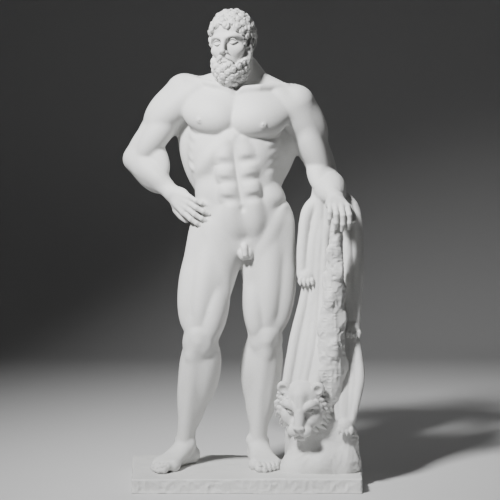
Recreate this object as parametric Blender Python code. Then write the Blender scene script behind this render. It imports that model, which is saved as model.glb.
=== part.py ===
"""A standing bearded hero with a club and a lion's skin, carved in one block with its rock and plinth.

The body is set out in centimetres of a 180 cm man and scaled to FIGURE_HEIGHT. Its masses are blended
in one field of distances, as a sculptor builds up clay, and the skin is drawn off that field.
Front is -Y, up is +Z, and the origin is the middle of the plinth's underside.
"""

import math
from copy import copy

import bmesh
import bpy
import numpy as np

# Driving sizes, in metres
FIGURE_HEIGHT = 3.05      # sole to crown, under the hair
PLINTH_HEIGHT = 0.095
PLINTH_MARGIN = 0.055     # plinth left bare beside the feet and the rock
PLINTH_APRON = 0.12       # plinth left bare in front of the toes and the rock
PLINTH_SPLAY = 0.075      # its sides spread by this much, each, from front to back
ROCK_WIDTH = 0.47
ROCK_DEPTH = 0.60
ROCK_HEIGHT = 0.56
ROCK_GAP = 0.075          # between the calf of the standing leg and the rock
CLUB_RADIUS = 0.104       # at its thick lower end

# Working values
MAN = 180.0               # height, in cm, of the man that the proportions are written for
CM = FIGURE_HEIGHT / MAN  # metres for each cm of that man
CARVING_STEP = 0.75       # grid of the distance field, in cm of the man
TRIANGLES = 9000
FAR = 60.0
STONE = (0.66, 0.66, 0.65)
NODE = "hercules_statue"

UP = np.array([0.0, 0.0, 1.0])
FRONT = np.array([0.0, -1.0, 0.0])
LEFT, RIGHT = 1, -1       # the figure's own sides; its left is at +X


# Vectors and frames
def unit(vector):
    vector = np.asarray(vector, float)
    return vector / np.linalg.norm(vector)


def turned(yaw=0.0, pitch=0.0, roll=0.0):
    """The axes of a frame turned, in degrees, about the upright, the sideways and the front axis."""
    a, b, c = (math.radians(angle) for angle in (yaw, pitch, roll))
    about_up = np.array([[math.cos(a), -math.sin(a), 0], [math.sin(a), math.cos(a), 0], [0, 0, 1]])
    about_side = np.array([[1, 0, 0], [0, math.cos(b), -math.sin(b)], [0, math.sin(b), math.cos(b)]])
    about_front = np.array([[math.cos(c), 0, math.sin(c)], [0, 1, 0], [-math.sin(c), 0, math.cos(c)]])
    return about_up @ about_side @ about_front


class Place:
    """A frame on the body: x to its left side, y to its back and z up."""

    def __init__(self, centre, axes):
        self.centre = np.array(centre, float)
        self.axes = axes

    def at(self, x, y, z):
        return self.centre + self.axes @ np.array([x, y, z], float)

    def way(self, x, y, z):
        return self.axes @ np.array([x, y, z], float)


class Bone:
    """A limb's line, with its front and its outer side."""

    def __init__(self, start, end, front, side):
        self.start = np.array(start, float)
        self.span = np.array(end, float) - self.start
        down = unit(self.span)
        front = np.array(front, float)
        self.front = unit(front - down * (front @ down))
        self.outer = -side * np.cross(down, self.front)

    def at(self, share, front=0.0, outer=0.0):
        return self.start + self.span * share + self.front * front + self.outer * outer


# The clay: a field of distances
def smooth_min(a, b, blend):
    """The lower of two distances, eased over blend where they are close."""
    if blend <= 0:
        return np.minimum(a, b)
    near = np.maximum(blend - np.abs(a - b), 0) / blend
    return np.minimum(a, b) - near * near * (blend / 4)


def smooth_max(a, b, blend):
    return -smooth_min(-a, -b, blend)


def smooth_line(points, radii, fine):
    """Points and radii along a smooth curve through those given."""
    points = np.asarray(points, float)
    rows = np.column_stack([points, np.broadcast_to(np.asarray(radii, float), (len(points),))])
    rows = np.vstack([2 * rows[0] - rows[1], rows, 2 * rows[-1] - rows[-2]])
    line = []
    for i in range(1, len(rows) - 2):
        before, here, there, after = rows[i - 1:i + 3]
        for t in np.arange(fine) / fine:
            line.append(0.5 * (2 * here + (there - before) * t
                               + (2 * before - 5 * here + 4 * there - after) * t ** 2
                               + (3 * here - before - 3 * there + after) * t ** 3))
    line = np.array(line + [rows[-2]])
    return line[:, :3], np.maximum(line[:, 3], 0.02)


def noise(x, y, z, scale, seed, size=24):
    """Smooth lumps from -1 to 1, about scale across, on the grid lines x, y and z."""
    table = np.random.default_rng(seed).uniform(-1, 1, (size, size, size)).astype(np.float32)
    for axis, line in enumerate((x, y, z)):
        place = np.ravel(line) / scale + 7.31
        cell = np.floor(place).astype(int)
        share = (place - cell).astype(np.float32)
        share = (share * share * (3 - 2 * share)).reshape([-1 if i == axis else 1 for i in range(3)])
        table = (np.take(table, cell % size, axis) * (1 - share)
                 + np.take(table, (cell + 1) % size, axis) * share)
    return table


def spots(count):
    """Directions spread evenly over a ball."""
    i = np.arange(count) + 0.5
    height = 1 - 2 * i / count
    angle = math.pi * (1 + 5 ** 0.5) * i
    ring = np.sqrt(1 - height * height)
    return np.stack([ring * np.cos(angle), ring * np.sin(angle), height], axis=1)


class Clay:
    """Distances to the surface on a grid, in cm. Each stroke adds a form, or cuts one away."""

    def __init__(self, low, high, step):
        self.low = np.array(low, float)
        self.step = step
        counts = [int(math.ceil((b - a) / step)) + 1 for a, b in zip(low, high)]
        self.depth = np.full(counts, FAR, np.float32)

    def stroke(self, low, high, shape, blend, cut=False, reach=4.0):
        """Works shape, a function of x, y and z, into the grid's part between low and high."""
        grow = max(reach, blend) + self.step
        spans, lines = [], []
        for axis, count in enumerate(self.depth.shape):
            first = int((low[axis] - grow - self.low[axis]) / self.step)
            last = int((high[axis] + grow - self.low[axis]) / self.step) + 2
            first, last = np.clip((first, last), 0, count)
            spans.append(slice(first, last))
            line = (self.low[axis] + self.step * np.arange(first, last)).astype(np.float32)
            lines.append(line.reshape([-1 if i == axis else 1 for i in range(3)]))
        here = self.depth[tuple(spans)]
        if here.size:
            distance = shape(*lines)
            here[...] = -smooth_min(-here, distance, blend) if cut else smooth_min(here, distance, blend)

    def ball(self, centre, radii, blend, axes=None, cut=False, reach=4.0):
        """An ellipsoid whose own axes are the columns of axes."""
        centre, radii = np.asarray(centre, float), np.asarray(radii, float)
        axes = np.eye(3) if axes is None else axes
        half = np.sqrt(((axes * radii) ** 2).sum(1))

        def shape(x, y, z):
            x, y, z = (p - np.float32(c) for p, c in zip((x, y, z), centre))
            near = far = 0
            for (a, b, c), radius in zip(axes.T.astype(np.float32), radii.astype(np.float32)):
                square = ((x * a + y * b + z * c) / radius) ** 2
                near = near + square
                far = far + square / radius ** 2
            near = np.sqrt(near)
            return near * (near - 1) / np.maximum(np.sqrt(far), 1e-4)

        self.stroke(centre - half, centre + half, shape, blend, cut, reach)

    def muscle(self, start, end, wide, deep, facing, blend):
        """A long ellipsoid from start to end, deep along facing and wide across it."""
        start, end = np.asarray(start, float), np.asarray(end, float)
        along = unit(end - start)
        facing = np.asarray(facing, float)
        facing = unit(facing - along * (facing @ along))
        axes = np.stack([np.cross(along, facing), facing, along], axis=1)
        self.ball((start + end) / 2, (wide, deep, np.linalg.norm(end - start) / 2), blend, axes)

    def rod(self, points, radii, blend, cut=False, reach=4.0):
        """A rounded rod through points, with a radius at each."""
        points = np.asarray(points, float)
        radii = np.broadcast_to(np.asarray(radii, float), (len(points),))

        def shape(x, y, z):
            best = None
            for a, b, start, end in zip(points[:-1], points[1:], radii[:-1], radii[1:]):
                span = (b - a).astype(np.float32)
                offset = [p - np.float32(c) for p, c in zip((x, y, z), a)]
                share = sum(o * s for o, s in zip(offset, span)) / np.float32(span @ span)
                share = np.clip(share, 0, 1)
                square = sum((o - share * s) ** 2 for o, s in zip(offset, span))
                distance = np.sqrt(square) - (np.float32(start) + share * np.float32(end - start))
                best = distance if best is None else np.minimum(best, distance)
            return best

        most = radii.max()
        self.stroke(points.min(0) - most, points.max(0) + most, shape, blend, cut, reach)

    def bow(self, points, radii, blend, cut=False, reach=4.0):
        """A rod along a smooth curve through points, in more steps where it is thick."""
        fine = 5 + int(0.9 * np.max(radii))
        self.rod(*smooth_line(points, radii, fine), blend, cut, reach)

    def apart(self, low, high):
        """Empty clay over this grid's part between low and high, to be worked alone and then joined."""
        first, last = (((corner - self.low) / self.step).astype(int) for corner in (low, high))
        first, last = (np.clip(ends, 0, self.depth.shape) for ends in (first, last))
        lump = copy(self)
        lump.low = self.low + self.step * first
        lump.depth = np.full(last - first, FAR, np.float32)
        lump.spans = tuple(slice(a, b) for a, b in zip(first, last))
        return lump

    def join(self, lump, blend):
        here = self.depth[lump.spans]
        here[...] = smooth_min(here, lump.depth, blend)

    def settle(self):
        """Fills a corner of each square that is solid only across a diagonal, where the skin would pinch."""
        pinched = True
        while pinched:
            pinched = False
            for u, v in ((0, 1), (0, 2), (1, 2)):
                views = []
                for du, dv in ((0, 0), (1, 0), (0, 1), (1, 1)):
                    part = [slice(None)] * 3
                    part[u] = slice(du, self.depth.shape[u] - 1 + du)
                    part[v] = slice(dv, self.depth.shape[v] - 1 + dv)
                    views.append(self.depth[tuple(part)])
                a, b, c, d = (view < 0 for view in views)
                for view, bridge in ((views[1], a & d & ~b & ~c), (views[0], b & c & ~a & ~d)):
                    view[bridge] = -0.05 * self.step
                    pinched = pinched or bridge.any()

    def surface(self):
        """Points and four-sided faces of the closed skin where the distance is zero."""
        self.settle()
        depth, inside = self.depth, self.depth < 0
        cells_each_way = tuple(n - 1 for n in depth.shape)
        corners = [(i, j, k) for i in (0, 1) for j in (0, 1) for k in (0, 1)]
        tally = np.zeros(cells_each_way, np.uint8)
        for corner in corners:
            tally += inside[tuple(slice(c, n + c) for c, n in zip(corner, cells_each_way))]
        crossed = (tally > 0) & (tally < 8)
        cells = np.argwhere(crossed)
        total, hits = np.zeros((len(cells), 3)), np.zeros(len(cells))
        for corner in corners:
            for axis in range(3):
                if corner[axis]:
                    continue
                first = depth[tuple((cells + corner).T)].astype(float)
                second = depth[tuple((cells + corner + np.eye(3, dtype=int)[axis]).T)].astype(float)
                crosses = (first < 0) != (second < 0)
                total += crosses[:, None] * np.array(corner)
                total[:, axis] += np.where(crosses, first / np.where(crosses, first - second, 1), 0)
                hits += crosses
        points = self.low + self.step * (cells + total / hits[:, None])
        number = np.full(cells_each_way, -1, np.int32)
        number[crossed] = np.arange(len(cells), dtype=np.int32)
        faces = []
        for axis in range(3):
            u, v = (axis + 1) % 3, (axis + 2) % 3
            change = np.diff(inside.astype(np.int8), axis=axis)
            edges = np.argwhere(change)
            ring = []
            for du, dv in ((-1, -1), (0, -1), (0, 0), (-1, 0)):
                cell = edges.copy()
                cell[:, u] += du
                cell[:, v] += dv
                ring.append(number[tuple(cell.T)])
            ring = np.stack(ring, axis=1)
            leaving = change[tuple(edges.T)] < 0
            ring[~leaving] = ring[~leaving][:, ::-1]
            faces.append(ring)
        return points, np.concatenate(faces)


# Pose, in cm of the man, with z from the sole
HIP = {LEFT: (12.6, 1.0, 95.5), RIGHT: (-6.8, 0.0, 92.0)}
KNEE = {LEFT: (12.2, -0.5, 51.0), RIGHT: (-13.5, -9.0, 50.5)}
ANKLE = {LEFT: (9.0, 4.5, 8.6), RIGHT: (-20.0, 1.5, 9.0)}
TOES = {LEFT: unit((0.20, -0.98, 0)), RIGHT: unit((-0.52, -0.85, 0))}
PELVIS = Place((3.0, 1.0, 97.0), turned(yaw=-4, roll=-8))
CHEST = Place((0.2, 0.8, 130.5), turned(yaw=-8, pitch=-3, roll=5))
HEAD = Place((-1.2, -3.6, 166.5), turned(yaw=-20, pitch=6, roll=-2))
SHOULDER = {LEFT: CHEST.at(22.5, 1.5, 14.5), RIGHT: CHEST.at(-22.5, 1.5, 16.0)}
ELBOW = {LEFT: np.array((36.0, 7.5, 114.5)), RIGHT: np.array((-40.0, 10.0, 122.0))}
WRIST = {LEFT: np.array((38.5, -15.0, 104.5)), RIGHT: np.array((-24.5, 0.5, 107.5))}

# Places of the support, worked out from the driving sizes, in cm of the man
CALF_SIDE = 17.0
ROCK_LEFT = CALF_SIDE + ROCK_GAP / CM
ROCK_RIGHT = ROCK_LEFT + ROCK_WIDTH / CM
ROCK_BACK = 19.0
ROCK_FRONT = ROCK_BACK - ROCK_DEPTH / CM
ROCK_TOP = ROCK_HEIGHT / CM
ROCK_MIDDLE = (ROCK_LEFT + ROCK_RIGHT) / 2
FOOT_REACH = 23.5         # from the ankle to past the longest toe
TOE_LEFT = ANKLE[RIGHT][0] + TOES[RIGHT][0] * FOOT_REACH - 3.0
TOE_FRONT = min(ANKLE[side][1] + TOES[side][1] * FOOT_REACH for side in (LEFT, RIGHT))
MARGIN = PLINTH_MARGIN / CM
PLINTH_FRONT = min(TOE_FRONT, ROCK_FRONT - 3.0) - PLINTH_APRON / CM
SPLAY = PLINTH_SPLAY / CM
PLINTH_LOW = np.array((TOE_LEFT - MARGIN - SPLAY, PLINTH_FRONT, -PLINTH_HEIGHT / CM))
PLINTH_HIGH = np.array((ROCK_RIGHT + MARGIN, ROCK_BACK + MARGIN, 0.0))
CLUB_TOP = np.array((38.9, -20.6, 99.4))
CLUB_FOOT = np.array((ROCK_MIDDLE + 1.0, -12.5, ROCK_TOP - 3.0))
MASK = Place((ROCK_LEFT + 4.5, ROCK_FRONT + 0.6, ROCK_TOP - 8.0), turned(yaw=-14, pitch=22))


# Trunk
def trunk(clay):
    clay.ball(CHEST.at(0, 1.0, 0), (17.6, 12.4, 21.5), 0, CHEST.axes)
    clay.ball(CHEST.at(0, 2.0, 12.5), (20, 9.2, 9.0), 5, CHEST.axes)
    waist = (CHEST.at(0, 0, -20) + PELVIS.at(0, 0, 6)) / 2
    clay.ball(waist + 0.4 * UP, (15.2, 11.6, 17), 5)
    clay.ball(PELVIS.at(0, 0.5, -2), (16.4, 11.0, 11.5), 5, PELVIS.axes)
    back(clay)
    ribs(clay)
    breast(clay)
    hips(clay)


def back(clay):
    for side in (LEFT, RIGHT):
        to_back = CHEST.way(0, 1, 0)
        # broad muscle of the back, then the column beside the spine
        clay.muscle(CHEST.at(21 * side, 4.5, 13), CHEST.at(9 * side, 6, -25), 7.0, 8.6,
                    CHEST.way(side, 0.6, 0), 4)
        clay.muscle(CHEST.at(3.6 * side, 11.0, 8), PELVIS.at(3.8 * side, 8.8, 4), 3.5, 3.4, to_back, 2.5)
        # shoulder blade and the muscle under it
        blade = CHEST.axes @ turned(yaw=18 * side, roll=-14 * side)
        clay.ball(CHEST.at(11.5 * side, 9.4, 9), (8.6, 4.4, 8.5), 2.5, blade)
        clay.muscle(CHEST.at(7 * side, 12.5, 2), CHEST.at(21 * side, 6, 11), 3.4, 3.0, to_back, 2)
        # hood muscle from the neck to the shoulder and down the back
        clay.rod([CHEST.at(2.4 * side, 3.0, 29), CHEST.at(6.6 * side, 4.0, 22.6),
                  CHEST.at(19 * side, 2.5, 18.6)],
                 [3.4, 4.6, 3.4], 4)
        clay.muscle(CHEST.at(1.5 * side, 9, 22), CHEST.at(2.5 * side, 12.2, -6), 4.4, 3.0, to_back, 2.5)
    furrow = [CHEST.at(0, 15.6, 14), CHEST.at(0, 16.0, 0), CHEST.at(0, 14.8, -16), PELVIS.at(0, 14.0, 4)]
    clay.rod(furrow, [1.6, 1.9, 2.2, 2.2], 2.5, cut=True)


def ribs(clay):
    for side in (LEFT, RIGHT):
        flank = CHEST.axes @ turned(roll=14 * side)
        clay.ball(CHEST.at(8.2 * side, -1.2, -9.0), (8.6, 9.5, 11.5), 4, flank)
        # the arch of the ribs over the belly
        clay.bow([CHEST.at(1.2 * side, -11.6, -3.0), CHEST.at(5.6 * side, -11.0, -8.5),
                  CHEST.at(10.2 * side, -7.9, -14.4), CHEST.at(12.6 * side, -3.4, -17.0)],
                 [1.3, 1.4, 1.1, 0.5], 4.2)
        # saw-tooth muscle along the side
        for row in range(5):
            start = CHEST.at((13.0 + 0.25 * row) * side, -8.4 + 0.5 * row, -0.5 - 3.7 * row)
            end = CHEST.at((17.6 - 0.4 * row) * side, -0.5 + 0.4 * row, 4.0 - 3.7 * row)
            clay.muscle(start, end, 1.8, 2.0, CHEST.way(side, -0.5, 0), 1.1)


def breast(clay):
    for side in (LEFT, RIGHT):
        # four bundles that fan from the breast bone to the arm, worked apart to keep their lower edge
        plate = clay.apart(CHEST.at(0, 0, 8) - 30, CHEST.at(0, 0, 8) + 30)
        bundles = (((2.6, -9.0, 14.2), (22.5, -2.2, 12.6), 4.4, 3.8),
                   ((1.9, -10.4, 9.6), (22.0, -3.4, 10.4), 4.9, 4.7),
                   ((2.2, -10.9, 4.6), (20.8, -4.4, 8.0), 4.7, 4.9),
                   ((3.6, -10.4, 1.6), (18.6, -5.0, 5.4), 3.7, 4.4))
        for (x, y, z), (far_x, far_y, far_z), wide, deep in bundles:
            plate.muscle(CHEST.at(x * side - 3 * side, y + 1.2, z), CHEST.at(far_x * side, far_y, far_z),
                         wide, deep,
                         CHEST.way(0.25 * side, -1, 0), 3.6)
        plate.ball(CHEST.at(9.6 * side, -8.9, 5.4), (8.6, 5.2, 6.0), 4.0,
                   CHEST.axes @ turned(yaw=20 * side, roll=-12 * side))
        clay.join(plate, 0.9)
        # collar bone
        clay.rod([CHEST.at(1.6 * side, -8.8, 17.2), CHEST.at(9 * side, -8.4, 18.6),
                  CHEST.at(18 * side, -2.6, 20.6)],
                 [1.2, 1.1, 1.3], 2.4)
        clay.ball(CHEST.at(12.4 * side, -13.2, 3.4), (1.2, 0.5, 1.2), 0.8, CHEST.axes)
        clay.ball(CHEST.at(12.4 * side, -13.7, 3.4), (0.5, 0.5, 0.5), 0.4, CHEST.axes)
    clay.rod([CHEST.at(0, -15.4, 14), CHEST.at(0, -16.2, 6), CHEST.at(0, -15.4, -2)], [1.1, 1.3, 1.0], 1.6,
             cut=True)


def midline(height):
    """Where the front middle of the trunk runs, from the tilted hips up to the chest."""
    low, high = PELVIS.at(0, 0, -8), CHEST.at(0, 0, -4)
    share = (height - low[2]) / (high[2] - low[2])
    return low[0] + (high[0] - low[0]) * share * share * (3 - 2 * share)


def belly(clay):
    # the low round belly and the flanks that hang over the hips, with one crisp edge below
    low_belly = clay.apart(PELVIS.at(0, 0, 4) - 24, PELVIS.at(0, 0, 4) + 24)
    low_belly.ball(PELVIS.at(0, -4.4, 1.6), (14.6, 8.9, 11.2), 0, PELVIS.axes)
    for side in (LEFT, RIGHT):
        flank = PELVIS.axes @ turned(yaw=14 * side, roll=12 * side)
        low_belly.ball(PELVIS.at(10.6 * side, 0.0, 6.8), (7.4, 10.4, 6.2), 2.6, flank)
    clay.join(low_belly, 0.8)
    for side in (LEFT, RIGHT):
        clay.ball(PELVIS.at(10.4 * side, -0.2, 12.4), (5.6, 9.0, 8.0), 4.0, PELVIS.axes)
    # the two upright columns of the belly muscle, which swell between the furrows across them
    columns = clay.apart(PELVIS.at(0, 0, 14) - 26, PELVIS.at(0, 0, 14) + 26)
    swells = ((126.0, -9.6, 2.9), (122.2, -9.5, 3.9), (118.8, -9.5, 3.5), (115.4, -9.5, 4.2),
              (111.8, -9.6, 3.6),
              (108.2, -9.6, 4.3), (104.6, -9.6, 3.8), (100.5, -9.2, 4.2), (95.5, -8.0, 4.1),
              (90.5, -6.0, 3.4))
    for side in (LEFT, RIGHT):
        line = [(midline(height) + side * (radius - 0.1), depth, height + 0.5 * side)
                for height, depth, radius in swells]
        columns.bow(line, [radius for _, _, radius in swells], 0.7)
    clay.join(columns, 1.5)
    for side in (LEFT, RIGHT):
        for height in (118.8, 111.8, 104.6):
            furrow = [(midline(height) + out * side, -14.3 + 0.16 * out, height + 0.5 * side + 0.12 * out)
                      for out in (1.0, 4.2, 8.4)]
            clay.bow(furrow, [0.6, 0.9, 0.5], 2.2, cut=True)
    navel = 101.4
    clay.ball((midline(navel), -13.3, navel), (0.8, 1.7, 1.2), 1.2, cut=True)


def hips(clay):
    for side in (LEFT, RIGHT):
        clay.ball(PELVIS.at(8.6 * side, 6.6, -7.5), (8.8, 7.6, 9.8), 3.0,
                  PELVIS.axes @ turned(roll=12 * side))
        clay.ball(PELVIS.at(13.0 * side, 2.0, -1.5), (5.4, 8.4, 9.0), 4.0, PELVIS.axes)
    clay.ball(PELVIS.at(0, -5.8, -9.4), (4.6, 4.4, 4.2), 2.0, PELVIS.axes)
    clay.rod([PELVIS.at(0, 14.4, -1), PELVIS.at(0, 15.6, -8), PELVIS.at(0, 13.0, -16)], [0.6, 0.9, 0.9], 1.4,
             cut=True)


def groin(clay):
    for side in (LEFT, RIGHT):
        clay.ball(PELVIS.at(1.0 * side, -9.2, -13.3), (1.9, 1.9, 2.4), 0.8, PELVIS.axes)
    clay.rod([PELVIS.at(0, -9.2, -9.6), PELVIS.at(0, -11.2, -11.2), PELVIS.at(0, -11.5, -13.6)],
             [1.3, 1.2, 1.0], 0.6)


# Legs
def leg(clay, side):
    toes = TOES[side]
    thigh = Bone(HIP[side], KNEE[side], toes + 2 * FRONT, side)
    shin = Bone(KNEE[side], ANKLE[side], toes, side)
    upper_leg(clay, thigh)
    knee(clay, thigh, shin)
    lower_leg(clay, shin)
    foot(clay, side)


def upper_leg(clay, thigh):
    at, front, outer = thigh.at, thigh.front, thigh.outer
    clay.bow([at(0), at(0.55), at(1)], [10.2, 8.8, 5.6], 4)
    # three front muscles, then the inner mass
    clay.muscle(at(0.0, 4.4, 1.2), at(0.93, 4.6, 0.4), 5.3, 5.6, front, 1.0)
    clay.muscle(at(0.06, 2.2, 6.3), at(0.96, 2.5, 4.4), 5.3, 6.3, outer, 0.9)
    clay.muscle(at(0.42, 3.0, -4.7), at(1.01, 3.0, -4.2), 4.6, 5.1, front, 0.8)
    clay.muscle(at(-0.04, 1.0, -4.4), at(0.66, 0, -3.2), 5.7, 6.7, front, 2.5)
    # two back muscles
    for across in (2.6, -2.7):
        clay.muscle(at(0.02, -5.0, across), at(1.03, -3.6, across * 1.05), 4.5, 4.8, front, 1.5)
    # long strap from the hip bone across to the inner knee, and the muscle beside its top
    clay.bow([at(-0.14, 7.0, 5.4), at(0.10, 7.8, 0.6), at(0.40, 4.6, -6.1), at(0.75, 0.4, -7.3),
              at(1.02, -1.2, -5.1)],
             [1.6, 1.9, 1.8, 1.8, 1.3], 2.0)
    clay.muscle(at(-0.20, 4.8, 6.2), at(0.36, 4.2, 7.3), 3.3, 3.9, outer, 2.2)


def knee(clay, thigh, shin):
    clay.ball(thigh.at(1.0, 0.8, 0), (5.4, 5.0, 5.2), 2)
    cap = thigh.at(0.985, 5.2, -0.1)
    clay.ball(cap, (2.9, 1.9, 3.1), 1.2)
    for across in (2.9, -3.1):
        clay.ball(thigh.at(0.90, 3.6, across), (2.1, 1.9, 3.4), 2.8)
        clay.ball(shin.at(0.045, 0.9, across), (2.8, 3.4, 3.4), 2.8)
    clay.rod([cap - 2.4 * UP, shin.at(0.13, 4.2, 0)], [1.6, 1.7], 1.8)


def lower_leg(clay, shin):
    at, front, outer = shin.at, shin.front, shin.outer
    clay.bow([at(0), at(0.3), at(0.7), at(1)], [5.3, 5.7, 4.2, 3.3], 2.5)
    # two heads of the calf, the flat muscle under them, and the front and side muscles
    clay.muscle(at(-0.04, -2.4, 3.1), at(0.54, -3.3, 3.4), 4.7, 5.8, front, 1.1)
    clay.muscle(at(-0.04, -2.4, -3.3), at(0.61, -2.9, -3.8), 5.1, 6.0, front, 1.1)
    clay.muscle(at(0.16, -1.5, 0), at(0.88, -1.9, 0), 6.2, 4.2, front, 1.8)
    clay.muscle(at(0.03, 2.4, 2.7), at(0.78, 1.5, 1.8), 2.9, 3.2, front, 1.0)
    clay.muscle(at(0.04, -0.4, 4.9), at(0.80, -0.8, 3.4), 2.9, 3.1, outer, 1.5)
    # shin bone, heel tendon and ankle bones
    clay.rod([at(0.12, 4.0, -0.3), at(0.5, 3.2, -1.2), at(0.92, 1.6, -1.0)], [1.5, 1.4, 1.5], 2.0)
    clay.rod([at(0.62, -3.5, 0), at(0.85, -3.9, 0), at(1.04, -4.2, 0)], [2.0, 1.4, 1.7], 1.8)
    clay.ball(at(0.985, 0, -2.9), (1.8, 2.0, 2.2), 1.3)
    clay.ball(at(1.01, -0.6, 3.1), (1.7, 1.8, 2.3), 1.3)


def foot(clay, side):
    forward = TOES[side]
    outward = side * np.cross(UP, forward)
    sole = Place((ANKLE[side][0], ANKLE[side][1], 0), np.stack([outward, -forward, UP], axis=1))
    at = sole.at
    clay.ball(at(0, 4.4, 3.4), (3.4, 4.1, 3.7), 2.5, sole.axes)
    clay.rod([at(0, 0.5, 8.0), at(0, -3.0, 5.4)], [3.5, 3.2], 2.5)
    clay.ball(at(0.8, -2.5, 1.9), (3.5, 8.5, 2.2), 2.0, sole.axes)
    clay.ball(at(-3.9, -13.2, 2.2), (2.2, 2.8, 2.2), 1.5, sole.axes)
    clay.ball(at(4.6, -10.6, 1.8), (2.0, 4.0, 1.8), 1.5, sole.axes)
    toe_roots = ((-3.6, -13.4), (-1.3, -14.2), (0.8, -13.8), (2.8, -12.9), (4.6, -11.7))
    toe_tips = (-20.6, -20.9, -19.8, -18.4, -16.8)
    toe_radii = (1.75, 1.25, 1.2, 1.15, 1.15)
    for i, ((x, y), tip, radius) in enumerate(zip(toe_roots, toe_tips, toe_radii)):
        great = i == 0
        # the ray of bone down the instep, then the toe
        clay.rod([at(x * 0.35, -1.5, 6.0), at(x * 0.75, -7.5, 4.3 - 0.25 * i), at(x, y, 2.2)],
                 [2.6, 2.1, 2.3 if great else 1.9], 1.5)
        drift = 0.25 if great else -0.12 * i
        clay.rod([at(x, y, 2.2), at(x + drift / 2, (y + tip) / 2, radius + (0.5 if great else 1.0)),
                  at(x + drift, tip + radius, radius * 0.95)], [radius, radius * 0.9, radius * 0.95], 0.5)


# Arms
def upper_arm(clay, side, front):
    bone = Bone(SHOULDER[side], ELBOW[side], front, side)
    at = bone.at
    clay.bow([at(0), at(0.5), at(1)], [7.7, 6.5, 4.9], 3)
    # shoulder cap in three heads
    clay.muscle(CHEST.at(14 * side, -4.6, 19.0), at(0.60, 2.8, 2.6), 5.9, 6.0, bone.front, 1.3)
    clay.muscle(CHEST.at(19 * side, 1.0, 21.5), at(0.62, 0, 4.2), 6.8, 6.4, bone.outer, 1.1)
    clay.muscle(CHEST.at(14 * side, 8.0, 17.5), at(0.56, -2.6, 2.6), 5.6, 5.8, bone.front, 1.3)
    # front muscle, two heads behind, and the small one outside
    clay.muscle(at(0.16, 3.9, -0.6), at(1.0, 3.5, -0.3), 5.2, 5.8, bone.front, 0.9)
    for across in (2.1, -2.1):
        clay.muscle(at(0.09, -3.4, across), at(0.89, -3.7, across * 0.9), 4.5, 5.1, bone.front, 1.0)
    clay.muscle(at(0.42, 0.6, 3.4), at(1.06, 0.8, 3.0), 2.7, 3.1, bone.outer, 1.2)
    clay.ball(at(1.0, -2.5, 0), (2.9, 2.9, 3.0), 1.8)


def forearm(clay, side, palm, thumb):
    """palm is the way that the palm faces at the wrist, and thumb the way of the thumb side."""
    elbow = ELBOW[side]
    bone = Bone(elbow, WRIST[side], palm, 1)
    down = unit(bone.span)
    thumb = np.array(thumb, float)
    thumb = unit(thumb - down * (thumb @ down))

    def at(share, to_palm=0.0, to_thumb=0.0):
        return bone.at(share, to_palm) + thumb * to_thumb

    clay.bow([at(0), at(0.3), at(0.8), at(1)], [5.0, 5.4, 3.6, 3.0], 2)
    # the muscle on the thumb side starts up the arm
    start = elbow + (SHOULDER[side] - elbow) * 0.26 + thumb * 1.8
    clay.muscle(start, at(0.68, 0.4, 2.8), 3.8, 4.3, thumb, 1.3)
    clay.muscle(at(-0.04, 2.0, -1.7), at(0.78, 1.8, -1.4), 4.6, 4.7, bone.front, 1.2)
    clay.muscle(at(0.0, -2.2, 0.6), at(0.82, -1.7, 0.4), 4.0, 4.0, bone.front, 1.2)
    clay.muscle(at(-0.02, -0.4, -3.1), at(0.74, -0.4, -2.2), 2.7, 2.9, thumb, 1.3)
    clay.ball(at(1.0), (3.1, 3.1, 3.1), 1.5)
    clay.ball(at(0.97, -1.2, -1.8), (1.3, 1.3, 1.4), 1.0)


KNUCKLES = ((3.3, 9.6), (1.1, 10.0), (-1.1, 9.6), (-3.1, 8.8))
FINGER_BONES = ((4.6, 2.9, 2.4), (5.0, 3.2, 2.5), (4.7, 3.0, 2.4), (3.8, 2.3, 2.2))
FINGER_RADII = (1.12, 1.02, 0.92, 0.74)


def hand(clay, wrist, fingers, palm, thumb_side, bends, thumb):
    """fingers and palm are ways in the room; bends are the degrees at each finger joint."""
    along = unit(fingers)
    palm = np.array(palm, float)
    palm = unit(palm - along * (palm @ along))
    frame = Place(wrist, np.stack([np.cross(palm, along) * thumb_side, palm, along], axis=1))
    at = frame.at
    clay.ball(at(0, 0.2, 5.0), (3.9, 1.7, 5.6), 1.5, frame.axes)
    clay.ball(at(2.6, 1.2, 3.6), (2.1, 1.9, 3.4), 1.2, frame.axes)
    clay.ball(at(-2.6, 1.0, 3.6), (1.6, 1.5, 3.6), 1.2, frame.axes)
    for i, (x, z) in enumerate(KNUCKLES):
        clay.rod([at(x * 0.45, -0.3, 1.2), at(x, -0.3, z)], [1.7, 1.25], 1.0)
        fan = math.radians(4.0 * (1.4 - i))
        slim = 0.88 if i == 3 else 1.0
        spot, angle = np.array([x, -0.2, z]), 0.0
        joints = [at(*spot)]
        for length, bend in zip(FINGER_BONES[i], bends):
            angle += math.radians(bend)
            spot = spot + length * np.array([math.sin(fan) * math.cos(angle), math.sin(angle),
                                             math.cos(fan) * math.cos(angle)])
            joints.append(at(*spot))
        clay.rod(joints, np.array(FINGER_RADII) * slim, 0.35)
    clay.rod([at(*spot) for spot in thumb], [1.7, 1.4, 1.15, 0.95], 0.8)


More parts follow.
